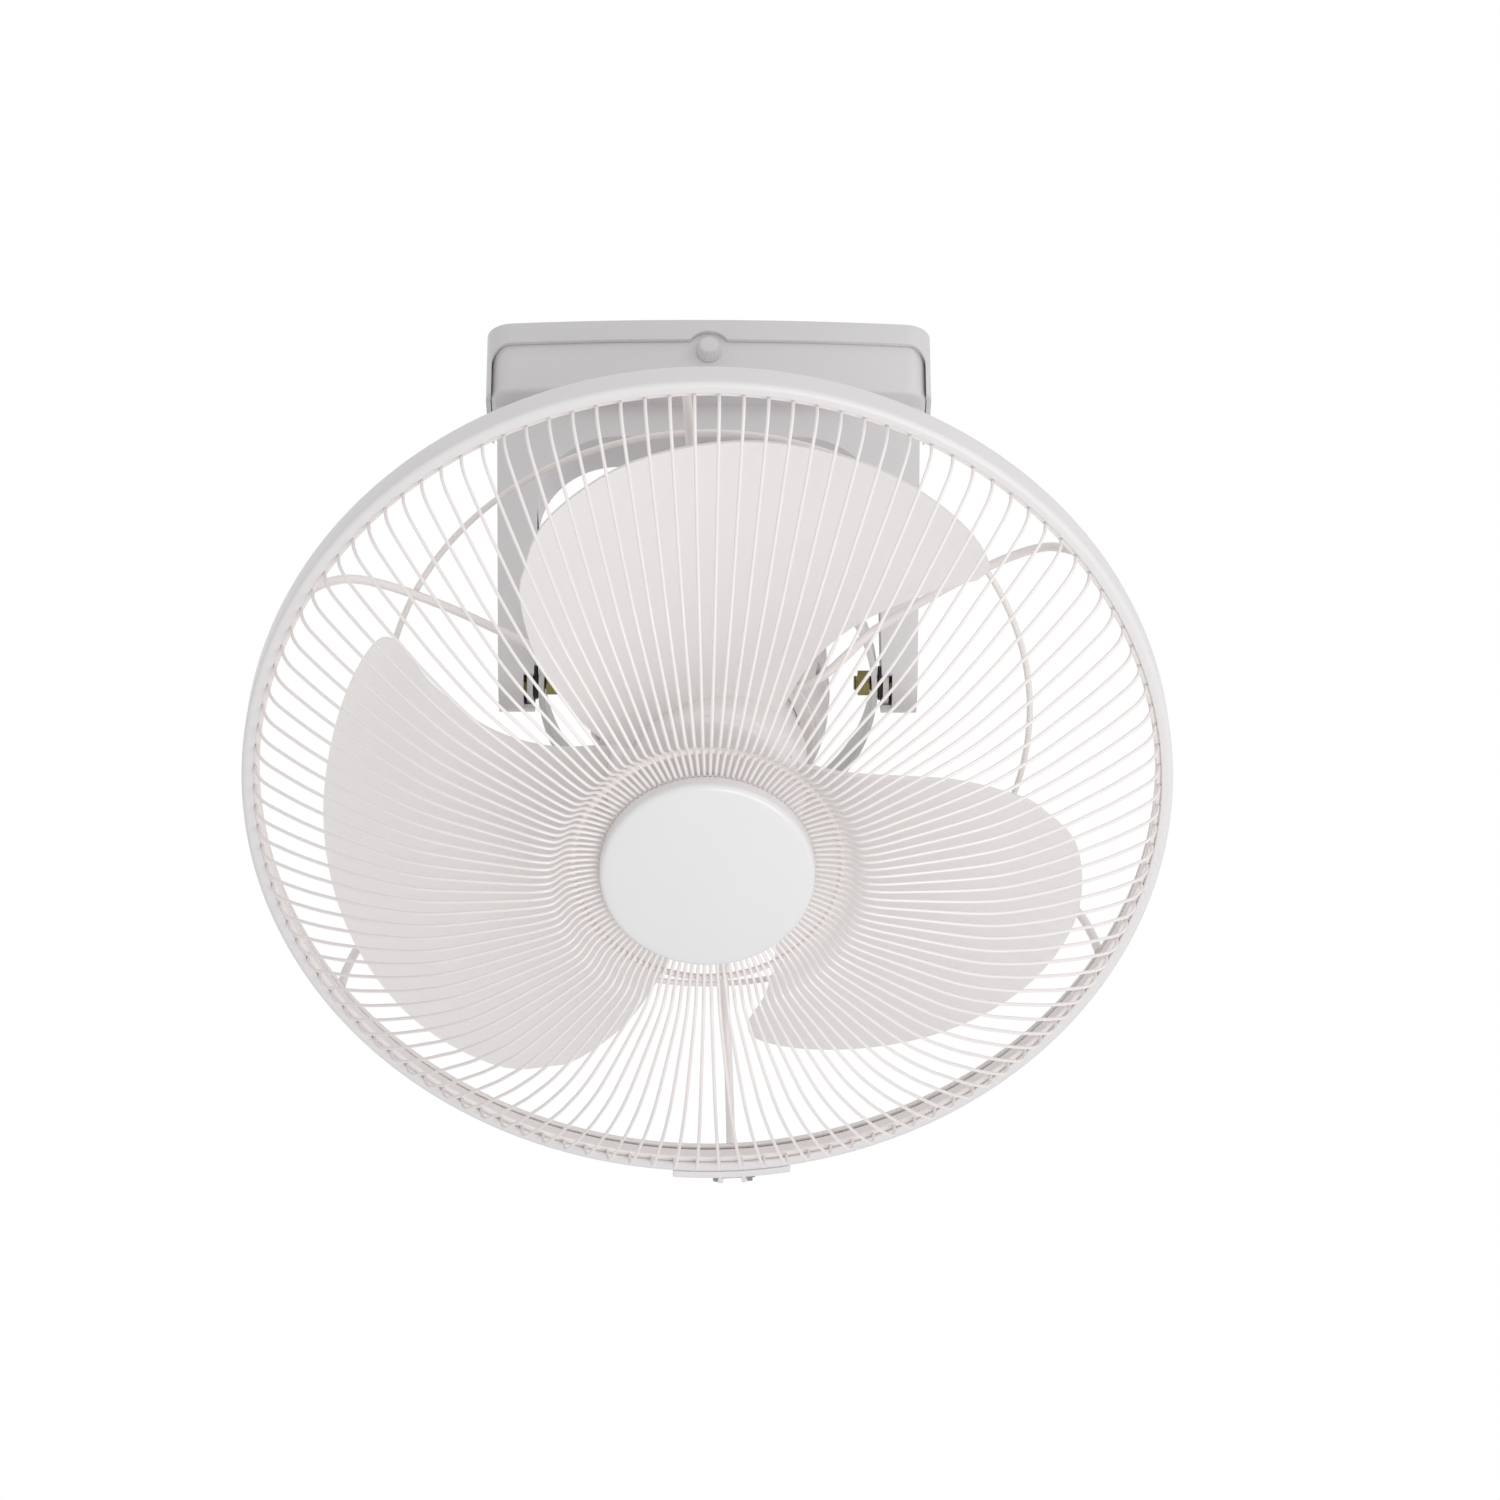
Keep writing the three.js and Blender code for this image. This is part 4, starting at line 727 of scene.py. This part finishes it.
def makeBladeNut(n):
    foot, top, radius = n["foot"], n["foot"] + n["length"], n["radius"]
    skirt = [(0, foot), (radius, foot, 0.5), (radius, foot + 4, 1.5)]
    dome = turned([*skirt, (radius - 3, top - 2, 2), (radius - 6, top, 1.5), (0, top)], 96)
    reach, half = radius + n["wingReach"], n["wingHalf"]
    wing = boxMesh((-reach, -half, foot), (reach, half, top - 4))
    whole = shaped(dome, [joinWith(wing), edgeRound(0.5, 3, 40)])
    finishPiece("bladeNut", whole, mouldedBlade, "rotor", ["blade_nut"])


makeBlades(blades)
makeBladeNut(nut)
print("blades made")

# ---- Motor and gear case ----

motor = {
    "radius": 63, "rear": -35.5, "joint": 11.5, "shoulder": 56.5, "shoulderPlace": 54, "nose": 47.5,
    "front": 67, "wall": 2.5, "bossRadius": 9.5, "bossEnd": 82.4, "bore": 4.3, "shaftHole": 5.5,
    "seatInner": 13.3, "seatOuter": 15.8, "seatDepth": 8, "rib": 0.8, "ribHeight": 1.2, "vents": 8,
    "ventWidth": 6, "ventLength": 15, "screwRing": 57.5, "screws": 3,
}


# A slot with round ends, to be cut through a cover's side.
def slotMesh(m, middle):
    half, reach = m["ventWidth"] / 2, m["ventLength"] / 2
    outline = [*arc(middle + reach - half, 0, half, -90, 90, 8), *arc(middle - reach + half, 0, half, 90, 270, 8)]
    slot = raised(outline, m["radius"] * 0.8, m["radius"] * 1.2)
    slot.transform(Matrix(((0, 0, 1, 0), (0, 1, 0, 0), (1, 0, 0, 0), (0, 0, 0, 1))))
    slot.flip_normals()
    return slot


def slotsAbout(m, middle, skip):
    tools = []
    for i in range(m["vents"]):
        angle = (i + 0.5) * 360 / m["vents"]
        if skip(angle):
            continue
        slot = slotMesh(m, middle)
        slot.transform(Matrix.Rotation(math.radians(angle), 4, "Z"))
        tools.append(slot)
    return joined(tools)


def rodMesh(radius, bottom, top, sides=48):
    return raised(arc(0, 0, radius, 0, 360 * (sides - 1) / sides, sides - 1), bottom, top)


# A rod laid along the head's Y axis.
def rodAlongY(radius, start, end, sides=48):
    rod = rodMesh(radius, start, end, sides)
    rod.transform(quarterTurn("X", -1))
    return rod


def makeMotor(m):
    radius, rear, joint, wall = m["radius"], m["rear"], m["joint"], m["wall"]
    hole, near, far, deep = m["shaftHole"], m["seatInner"], m["seatOuter"], m["seatDepth"]
    wide, high = radius + m["rib"], m["ribHeight"]
    floor = rear + wall
    outside = [(hole, rear, 0), (radius, rear, 9), (radius, joint - high, 0), (wide, joint - high, 0.3)]
    inside = [(wide, joint, 0.3), (radius - wall, joint, 0), (radius - wall, floor, 7), (far, floor, 0)]
    seat = [(far, floor + deep, 0.5), (near, floor + deep, 0.5), (near, floor, 0), (hole, floor, 0)]
    back = turned([*outside, *inside, *seat], 144)
    bosses = [rodAlongY(m["bossRadius"], side * (radius - 5), side * m["bossEnd"]) for side in (1, -1)]
    bore = rodAlongY(m["bore"], -m["bossEnd"] - 1, m["bossEnd"] + 1)
    nearBoss = lambda angle: abs(angle % 180 - 90) < 18
    steps = [joinWith(boss) for boss in bosses]
    steps += [cutWith(bore), cutWith(slotsAbout(m, rear + 18, nearBoss)), edgeRound(0.45, 2, 50)]
    finishPiece("motorBack", shaped(back, steps), castPaint, "head", ["motor_rear_cover"])
    foot, shoulder, place = joint + fitGap, m["shoulder"], m["shoulderPlace"]
    nose, front = m["nose"], m["front"]
    floor = front - wall
    rim = [(radius - wall, foot, 0), (wide, foot, 0.3), (wide, foot + high, 0.3), (radius, foot + high, 0)]
    slope = [(radius, foot + 16, 10), (radius - 3, foot + 30, 8), (shoulder, place, 2), (nose, place, 1)]
    tip = [(nose, front, 4.5), (18, front, 0.6), (17, front + 1, 0.4), (hole, front + 1, 0), (hole, floor, 0)]
    seat = [(near, floor, 0), (near, floor - deep, 0.4), (far, floor - deep, 0.4), (far, floor, 0)]
    inside = [(nose - wall, floor, 2), (nose - wall, place - wall, 1), (shoulder - wall - 1, place - wall, 1)]
    face = turned([*rim, *slope, *tip, *seat, *inside, (radius - wall, foot + 8, 6)], 144)
    screwAngles = [(i + 0.5) * 360 / m["screws"] for i in range(m["screws"])]
    nearScrew = lambda angle: any(abs(angle - screw) < 12 for screw in screwAngles)
    steps = [cutWith(slotsAbout(m, foot + 17, nearScrew))]
    for angle in screwAngles:
        steps.append(cutWith(moved(rodMesh(m["bore"], foot + 14, front), *polar(m["screwRing"], 0, angle))))
    steps.append(edgeRound(0.45, 2, 50))
    finishPiece("motorFace", shaped(face, steps), castPaint, "head", ["motor_front_cover"])


gearCase = {
    "radius": 31, "mouth": -35.8, "foot": -62.8, "wall": 2, "bore": 4, "ribs": 24, "lidFace": -65.1,
    "lidBore": 7.5, "lidScrews": 4,
}


def makeGearCase(c):
    radius, foot, mouth, bore = c["radius"], c["foot"], c["mouth"], c["bore"]
    inner = radius - c["wall"]
    outside = [(inner, foot, 0.4), (radius, foot, 0.6), (radius, mouth - 3, 1.5), (radius + 2, mouth, 0.6)]
    case = turned([*outside, (bore, mouth, 0), (bore, mouth - 1, 0), (inner, mouth - 1, 1)], 120)
    rib = boxMesh((radius - 0.5, -0.8, foot + 3), (radius + 0.9, 0.8, mouth - 3))
    ribs = repeated(rib, c["ribs"], 7.5, mouldedAbs)
    finishPiece("gearHousing", joined([case, ribs]), mouldedAbs, "head", ["gear_case"])
    low, high, hole = c["lidFace"], foot - fitGap, c["lidBore"]
    lid = turned([(hole, low, 0.4), (radius, low, 0.8), (radius, high, 0.3), (hole, high, 0.3)], 120)
    head = turned([(0, -1.9), (2.2, -1.9, 0.8), (2.8, -0.6, 0.3), (2.8, 0, 0), (0, 0)], 24)
    heads = repeated(moved(head, radius - 5, 0, low + 0.9), c["lidScrews"], 45, brightSteel)
    finishPiece("gearLid", lid, mouldedAbs, "head", ["gear_case_lid"])
    finishPiece("lidScrews", heads, brightSteel, "head", [])


makeMotor(motor)
makeGearCase(gearCase)
print("motor made")

# ---- Gimbal ring ----

gimbal = {"inner": 86, "sheet": 3, "halfWidth": 10, "hole": 4.3}


def makeGimbal(g):
    near, outer, half = g["inner"], g["inner"] + g["sheet"], g["halfWidth"]
    strap = turned([(near, -half, 0.5), (outer, -half, 0.9), (outer, half, 0.9), (near, half, 0.5)], 160)
    across = rodMesh(g["hole"], -outer - 1, outer + 1)
    across.transform(quarterTurn("Y"))
    steps = [cutWith(across), cutWith(rodAlongY(g["hole"], -outer - 1, outer + 1))]
    finishPiece("gimbalStrap", shaped(strap, steps), powderCoat, "ring", ["gimbal_ring"])


makeGimbal(gimbal)
print("gimbal ring made")

# ---- Ceiling pan, yoke body and thumb screw ----

yoke = {
    "halfWidth": 120, "halfDepth": 32.5, "bow": 4, "corner": 15, "sheet": 1.5, "skirt": 12.3,
    "flap": 40, "flapStart": 3, "flapSweep": 9, "inset": 2.8, "wall": 2.5, "boxDepth": 41.5,
    "boxTop": -1.8, "edge": 3, "halfTop": 114.5, "halfBottom": 109.5, "legDepth": 15.7, "legInner": 91,
    "arch": 61, "archRadius": 43, "notchWidth": 5.5, "notchRise": 3, "slotPitch": 116, "slotRadius": 3,
    "slotHalf": 5, "boltShare": 0.65, "boltHole": 4.3, "cableHole": 34, "cableRadius": 9,
    "thumbDrop": 19, "thumbNotch": 12, "tongueHole": 2.3, "stemRadius": 5.5,
}
pivotDrop = -gimbalCentre.z / mm


# The plan outline: round corners and a front edge that bulges a little.
def planOutline(y, inset):
    x, d = y["halfWidth"] - inset, y["halfDepth"] - inset
    r = max(y["corner"] - inset, 1)
    start, end, pull = Vector((-x + r, -d)), Vector((x - r, -d)), Vector((0, -d - 2 * y["bow"]))
    front = [start * (1 - t) ** 2 + pull * 2 * t * (1 - t) + end * t * t for t in [i / 24 for i in range(1, 24)]]
    corners = [(x - r, -d + r, -90), (x - r, d - r, 0), (-x + r, d - r, 90), (-x + r, -d + r, 180)]
    outline = [(p.x, p.y) for p in front]
    for cx, cy, turn in corners:
        outline += arc(cx, cy, r, turn, turn + 90, 12)
    return outline


# A front view outline as a block through the yoke's depth.
def throughDepth(outline, half):
    block = raised(outline, -half, half)
    block.transform(quarterTurn("X"))
    return block


# A side view outline as a block across the yoke's width.
def throughWidth(outline, half):
    block = raised(outline, -half, half)
    block.transform(quarterTurn("X"))
    block.transform(quarterTurn("Z"))
    return block


def yokeBlock(y, inset):
    foot = -pivotDrop - y["legDepth"] + inset
    top = -y["boxDepth"] / 2
    a, b = y["halfTop"] - inset, y["halfBottom"] - inset
    front = throughDepth([(-a, top), (-b, foot), (b, foot), (a, top)], y["legDepth"] - inset)
    r = y["legDepth"] - inset
    side = throughWidth([(r, 0), (-r, 0), *arc(0, -pivotDrop, r, 180, 360, 28)], y["halfWidth"])
    return shaped(front, [commonWith(side)])


def archBlock(y, growth):
    x, top = y["legInner"] - y["archRadius"], -y["arch"] - y["archRadius"]
    r = y["archRadius"] + growth
    foot = -2 * pivotDrop
    outline = [(-x - r, foot), (x + r, foot), *arc(x, top, r, 0, 90, 20), *arc(-x, top, r, 90, 180, 20)]
    return throughDepth(outline, y["halfDepth"])


def makeBody(y):
    height = y["boxDepth"] + y["boxTop"]
    slab = raised(planOutline(y, y["inset"]), -y["boxDepth"], -y["boxDepth"] + height)
    bm = bmesh.new()
    bm.from_mesh(slab)
    low = [e for e in bm.edges if all(v.co.z < -(y["boxDepth"] - 1) * mm for v in e.verts)]
    bmesh.ops.bevel(bm, geom=low, offset=y["edge"] * mm, segments=5, profile=0.5, affect="EDGES")
    slab = meshOf(bm)
    hollow = raised(planOutline(y, y["inset"] + y["wall"]), -y["boxDepth"] + y["wall"], 1)
    x, d = y["legInner"], y["halfDepth"] * 2
    between = boxMesh((-x, -d, -2 * pivotDrop), (x, d, 0))
    keep = shaped(archBlock(y, y["wall"]), [commonWith(between)])
    inside = shaped(yokeBlock(y, y["wall"]), [cutWith(keep)])
    notchTop = -pivotDrop - y["notchRise"]
    notches = []
    for side in (-1, 1):
        ends = sorted((side * (x - 1), side * (x + y["notchWidth"])))
        notches.append(boxMesh((ends[0], -2 * y["legDepth"], -2 * pivotDrop), (ends[1], 0, notchTop)))
    stem = rodMesh(y["stemRadius"], -y["arch"] * 1.5, -y["boxDepth"])
    steps = [joinWith(yokeBlock(y, 0)), cutWith(hollow), cutWith(inside), cutWith(archBlock(y, 0)), cutWith(stem)]
    steps += [cutWith(notch) for notch in notches]
    steps.append(edgeRound(1.5, 4, 40))
    finishPiece("yokeBody", shaped(slab, steps), mouldedAbs, "yoke", ["body_shell"], standing)


def makePan(y):
    slab = raised(planOutline(y, 0), -y["flap"], 0)
    hollow = raised(planOutline(y, y["inset"] - 0.25), -y["flap"] - 1, -y["sheet"])
    x, r, foot = y["halfWidth"] - y["flapStart"], y["flapSweep"], -y["flap"] - 1
    rise = -y["skirt"] - r
    gate = [(-x, foot), (x, foot), *arc(x - r, rise, r, 0, 90, 14), *arc(-x + r, rise, r, 90, 180, 14)]
    between = throughDepth(gate, y["halfWidth"])
    notch = moved(rodAlongY(y["thumbNotch"], -y["halfDepth"] * 2, 0, 64), z=-y["thumbDrop"])
    cable = moved(rodMesh(y["cableRadius"], -4, 2), y["cableHole"])
    steps = [cutWith(hollow), cutWith(between), cutWith(notch), cutWith(cable)]
    r, d = y["slotRadius"], y["slotHalf"]
    for side in (-1, 1):
        x = side * y["slotPitch"] / 2
        steps.append(cutWith(raised([*arc(x, d, r, 0, 180, 12), *arc(x, -d, r, 180, 360, 12)], -4, 2)))
        steps.append(cutWith(moved(rodMesh(y["boltHole"], -4, 2), side * y["halfWidth"] * y["boltShare"])))
    steps.append(edgeRound(0.9, 4, 40))
    pan = shaped(slab, steps)
    boxFront = -(y["halfDepth"] - y["inset"]) - y["bow"]
    back = boxFront + y["wall"] + 2.3
    tongue = boxMesh((-12, back - 2, -y["thumbDrop"] - 6), (12, back, -y["sheet"]))
    hole = moved(rodAlongY(y["tongueHole"], back - 4, back + 2, 32), z=-y["thumbDrop"])
    tongue = shaped(tongue, [cutWith(hole), edgeRound(0.4, 2)])
    whole = joined([pan, tongue])
    finishPiece("ceilingPan", whole, powderCoat, "yoke", ["ceiling_pan"], standing)


thumb = {"base": 6.8, "end": 5.2, "length": 8, "ribs": 20, "ribDepth": 0.35, "front": -42, "drop": 19, "shank": 2}


def makeThumb(t):
    bm = bmesh.new()
    rings = []
    for share, scale in ((0, 0.55), (0.02, 0.84), (0.08, 0.96), (0.18, 1), (0.95, 1), (1, 0.97)):
        radius = (t["end"] + (t["base"] - t["end"]) * share) * scale
        ring = []
        for i in range(t["ribs"] * 6):
            angle = 2 * math.pi * i / (t["ribs"] * 6)
            reach = radius - t["ribDepth"] * (0.5 - 0.5 * math.cos(angle * t["ribs"])) * (scale > 0.9)
            x, y = reach * math.cos(angle), reach * math.sin(angle)
            ring.append(bm.verts.new((x * mm, y * mm, share * t["length"] * mm)))
        rings.append(ring)
    for one, two in zip(rings, rings[1:]):
        for i in range(len(one)):
            n = (i + 1) % len(one)
            bm.faces.new((one[i], one[n], two[n], two[i]))
    bm.faces.new(rings[0])
    bm.faces.new(rings[-1])
    knob = meshOf(bm)
    shank = rodMesh(t["shank"], t["length"] - 0.5, t["length"] + 5.4, 32)
    whole = joined([knob, shank])
    place = Matrix.Translation((0, t["front"] * mm, -t["drop"] * mm)) @ quarterTurn("X", -1)
    finishPiece("thumbKnob", whole, mouldedAbs, "thumb", ["thumb_screw"], place)


makeBody(yoke)
makePan(yoke)
makeThumb(thumb)
print("yoke made")

# ---- Fork, its bolts and the pivots ----

fork = {"inner": 91.8, "sheet": 3, "halfWidth": 12, "top": -2.1, "bend": 4, "boltPlace": 78}
pivot = {
    "bolt": 4, "bore": 4.3, "across": 13, "head": 5.2, "nut": 6.2, "tail": 2, "washer": 9,
    "washerSheet": 2.2, "thread": 1.25, "threadLength": 14, "play": 1.1,
}


# The fork's bar and its two legs are one bent strip; the front view is its centre line made thick.
def makeFork(f):
    outer, top = f["inner"] + f["sheet"], f["top"]
    under = top - f["sheet"]
    foot = -pivotDrop - f["halfWidth"]
    r, thin = f["bend"], f["bend"] - f["sheet"]
    outline = [
        *arc(outer - r, top - r, r, 0, 90, 8),
        *arc(-outer + r, top - r, r, 90, 180, 8),
        (-outer, foot),
        (-f["inner"], foot),
        *arc(-f["inner"] + thin, under - thin, thin, 180, 90, 5),
        *arc(f["inner"] - thin, under - thin, thin, 90, 0, 5),
        (f["inner"], foot),
        (outer, foot),
    ]
    strip = throughDepth(outline, f["halfWidth"])
    side = [(f["halfWidth"], 10), (-f["halfWidth"], 10), *arc(0, -pivotDrop, f["halfWidth"], 180, 360, 32)]
    trim = throughWidth(side, outer + 5)
    across = rodMesh(pivot["bore"], -outer - 1, outer + 1)
    across.transform(Matrix.Translation((0, 0, -pivotDrop * mm)) @ quarterTurn("Y"))
    steps = [commonWith(trim), cutWith(across)]
    for side in (-1, 1):
        steps.append(cutWith(moved(rodMesh(pivot["bore"], under - 1, top + 1), side * f["boltPlace"])))
    steps.append(edgeRound(0.4, 2, 40))
    whole = shaped(strip, steps)
    finishPiece("carryingFork", whole, powderCoat, "yoke", ["steel_fork"], standing)


# A hexagon with both rims chamfered the way a turned nut is.
def hexMesh(across, bottom, top):
    corner = across / 2 / math.cos(math.pi / 6)
    block = raised(arc(0, 0, corner, 0, 300, 5), bottom, top)
    chamfer = (corner - across / 2) * 0.9
    face, rim, rise = corner - chamfer, corner + 0.02, chamfer * 0.58
    side = [(face, bottom), (rim, bottom + rise), (rim, top - rise), (face, top)]
    cone = turned([(0, bottom), *side, (0, top)], 72)
    return shaped(block, [commonWith(cone)])


# A threaded end: shallow rings at the thread's pitch.
def threadedMesh(radius, start, end, pitch):
    count = max(int(abs(end - start) / pitch), 1)
    profile = [(0, start)]
    for i in range(count):
        low = start + (end - start) * i / count
        high = start + (end - start) * (i + 1) / count
        profile += [(radius - 0.35, low + (high - low) * 0.1), (radius, low + (high - low) * 0.5)]
    profile += [(radius - 0.5, end), (0, end)]
    return turned(profile, 32)


def boltMesh(p, length):
    radius, smooth = p["bolt"], length - p["threadLength"]
    shank = turned([(0, 0), (radius, 0), (radius, smooth), (0, smooth)], 40)
    thread = threadedMesh(radius, smooth, length, p["thread"])
    return joined([shank, hexMesh(p["across"], -p["head"], 0), thread])


def nutMesh(p, bottom, top):
    bore = rodMesh(p["bore"], bottom - 1, top + 1)
    return shaped(hexMesh(p["across"], bottom, top), [cutWith(bore)])


def washerMesh(p, foot):
    radius, bore, top = p["washer"], p["bore"], foot + p["washerSheet"]
    return turned([(bore, foot, 0.3), (radius, foot, 0.5), (radius, top, 0.5), (bore, top, 0.3)], 72)


def turnedOver(mesh, height):
    mesh.transform(Matrix.Translation((0, 0, height * mm)) @ Matrix.Rotation(math.pi, 4, "X"))
    return mesh


def makePivots(p, g):
    strap = g["inner"] + g["sheet"]
    washerFoot = strap + fitGap
    seat = fork["inner"] + fork["sheet"] + fitGap
    nutOuter = g["inner"] - p["play"]
    nutInner = nutOuter - p["nut"]
    for side, sign in (("Left", -1), ("Right", 1)):
        node = side.lower()
        place = Matrix.Translation((0, 0, -pivotDrop * mm)) @ quarterTurn("Y", sign)
        bolt = turnedOver(boltMesh(p, seat - nutInner + p["tail"]), seat)
        finishPiece(f"pivotBolt{side}", bolt, yellowZinc, "yoke", [f"pivot_bolt_{node}"], place)
        ring, stands = washerMesh(p, washerFoot), [f"pivot_washer_{node}"]
        finishPiece(f"pivotWasher{side}", ring, blackNylon, "yoke", stands, place)
        nut = nutMesh(p, nutInner, nutOuter)
        finishPiece(f"pivotNut{side}", nut, yellowZinc, "yoke", [f"pivot_nut_{node}"], place)
    bossEnd = g["inner"] - p["play"] - p["washerSheet"] - fitGap
    for side, sign in (("Upper", 1), ("Lower", -1)):
        node = side.lower()
        place = headPlace @ quarterTurn("X", -sign)
        pin = turnedOver(boltMesh(p, washerFoot - (motor["radius"] - motor["wall"])), washerFoot)
        finishPiece(f"ringPin{side}", pin, yellowZinc, "head", [f"ring_pin_{node}"], place)
        ring, stands = washerMesh(p, bossEnd + fitGap), [f"ring_washer_{node}"]
        finishPiece(f"ringWasher{side}", ring, blackNylon, "head", stands, place)


makeFork(fork)
makePivots(pivot, gimbal)
print("fork and pivots made")

# ---- Orbit crank, its ball and the fixed cup ----

orbit = {
    "reach": 88, "tilt": 30, "ball": 5, "pin": 3, "gap": 1, "cup": 11, "cupHeight": 17, "stem": 5,
    "flange": 15, "sheet": 3, "sleeve": 7, "armFront": -66.1, "sleeveFront": -57.8, "bore": 5.3,
}


def makeOrbit(o):
    throw = o["reach"] * math.sin(math.radians(o["tilt"]))
    drop = o["reach"] * math.cos(math.radians(o["tilt"]))
    front, rear = o["armFront"], o["armFront"] - o["sheet"]
    outline = [*arc(0, 0, o["sleeve"] + 3, 90, 270, 24), *arc(throw, 0, o["pin"] + 4, -90, 90, 20)]
    arm = raised(outline, rear, front)
    pinHole = moved(rodMesh(o["pin"] + fitGap, rear - 1, front + 1), throw)
    arm = shaped(arm, [cutWith(pinHole), edgeRound(0.5, 3, 50)])
    near, far, low, high = o["bore"], o["sleeve"], rear - 0.01, o["sleeveFront"]
    sleeve = turned([(near, low), (far, low), (far, high), (near, high)], 48)
    swing = headPlace @ quarterTurn("Z")
    finishPiece("crankArm", joined([arm, sleeve]), brightSteel, "crank", ["orbit_crank"], swing)
    bm = bmesh.new()
    bmesh.ops.create_uvsphere(bm, u_segments=48, v_segments=32, radius=o["ball"] * mm)
    ball = meshOf(bm)
    neck, stem, end = o["pin"] - 0.4, o["pin"], drop + front
    pin = turned([(0, 0), (neck, 0), (neck, 3), (stem, 4), (stem, end, 0.6), (0, end)], 40)
    rivet = moved(joined([ball, pin]), throw, 0, -drop)
    finishPiece("crankBall", rivet, brightSteel, "crank", ["crank_ball"], swing)
    foot = o["reach"] - pivotDrop + o["ball"] + o["gap"]
    roof = foot + o["cupHeight"]
    inner = o["ball"] + o["gap"]
    top = fork["top"] - fork["sheet"] - fitGap
    under = top - o["sheet"]
    angles = [math.pi / 2 * i / 10 for i in range(10)]
    dome = [(inner * math.cos(a), foot + inner * 0.5 * math.sin(a)) for a in angles]
    flange = [(0, top), (o["flange"], top, 0.5), (o["flange"], under, 1), (o["stem"], under, 2)]
    outside = [(o["stem"], roof + 2, 2), (o["cup"], roof - 2, 3), (o["cup"], foot, 1)]
    cup = turned([*dome, (0, foot + inner * 0.5), *flange, *outside], 72)
    finishPiece("orbitCup", cup, brightSteel, "yoke", ["orbit_anchor"], standing)


makeOrbit(orbit)
print("orbit crank made")

# ---- Band clip ----

clip = {
    "inner": 236.3, "outer": 240.3, "angle": 15, "foot": 96.5, "top": 112.5, "lug": 7, "lugGap": 10,
    "lugSheet": 2.5, "lugRound": 4.5,
}
clipScrew = {"bolt": 2, "bore": 2.3, "across": 7, "thread": 0.7}


def makeClip(c, small, g):
    half = c["angle"] / 2
    saddle = [*arc(0, 0, c["outer"], -half, half, 40), *arc(0, 0, c["inner"], half, -half, 40)]
    wall = raised(saddle, c["foot"], c["top"])
    steps = []
    near, far = c["lugGap"] / 2, c["lugGap"] / 2 + c["lugSheet"]
    reach = c["outer"] + c["lug"]
    middle = (g["bandRear"] + g["bandFront"]) / 2
    r, root, low, high = c["lugRound"], c["outer"] - 1, c["foot"] + 1.5, c["top"] - 2
    rounded = [*arc(reach - r, low + r, r, -90, 0, 6)[1:], *arc(reach - r, high - r, r, 0, 90, 6)]
    for side in (-1, 1):
        y = sorted((side * near, side * far))
        lug = raised([(root, low), (reach - r, low), *rounded, (root, high)], -y[1], -y[0])
        lug.transform(quarterTurn("X"))
        steps.append(joinWith(lug))
    spot = Matrix.Translation(((c["outer"] + c["lug"] / 2 + 0.5) * mm, 0, middle * mm))
    bore = rodAlongY(small["bore"], -20, 20, 32)
    bore.transform(spot)
    steps += [cutWith(bore), edgeRound(0.6, 3, 40)]
    place = headPlace @ Matrix.Rotation(math.radians(g["turn"] - 90), 4, "Z")
    finishPiece("bandClip", shaped(wall, steps), bandCoat, "head", ["band_clip"], place)
    face = far + fitGap
    length = 2 * face + 4.5
    head = turned([(0, -2.6), (3.2, -2.6, 1.4), (3.6, -0.9, 0.6), (3.6, 0, 0.2), (0, 0)], 40)
    cross = joined([boxMesh((-2, -0.4, -3), (2, 0.4, -1.6)), boxMesh((-0.4, -2, -3.01), (0.4, 2, -1.61))])
    head = shaped(head, [cutWith(cross)])
    screw = joined([head, threadedMesh(small["bolt"], -0.2, length, small["thread"])])
    turnOver = spot @ quarterTurn("X", -1)
    screw.transform(turnOver @ Matrix.Translation((0, 0, -face * mm)))
    finishPiece("clipScrew", screw, brightSteel, "head", ["clip_screw"], place)
    nut = nutMesh(small, face, face + 3)
    nut.transform(turnOver)
    finishPiece("clipNut", nut, brightSteel, "head", ["clip_nut"], place)


makeClip(clip, clipScrew, guard)
print("clip made")

# ---- Finishes of the pieces that stay as they are in the CAD ----

carriedFinishes = {
    "stator_core": stackedSheet,
    "winding_rear": enamelledCopper,
    "winding_front": enamelledCopper,
    "bearing_rear": brightSteel,
    "bearing_front": brightSteel,
    "rotor_core": stackedSheet,
    "motor_shaft": brightSteel,
    "cover_screw_1": brightSteel,
    "cover_screw_2": brightSteel,
    "cover_screw_3": brightSteel,
    "fork_bolt_left": brightSteel,
    "fork_bolt_right": brightSteel,
    "terminal_block": naturalAcetal,
    "capacitor": blackNylon,
    "cross_shaft": naturalAcetal,
    "idler_gear": naturalAcetal,
}


def dressCarried(finishes):
    for node, material in finishes.items():
        materials = nodes[node].data.materials
        materials.clear()
        materials.append(material)


dressCarried(carriedFinishes)
print("inner pieces dressed")
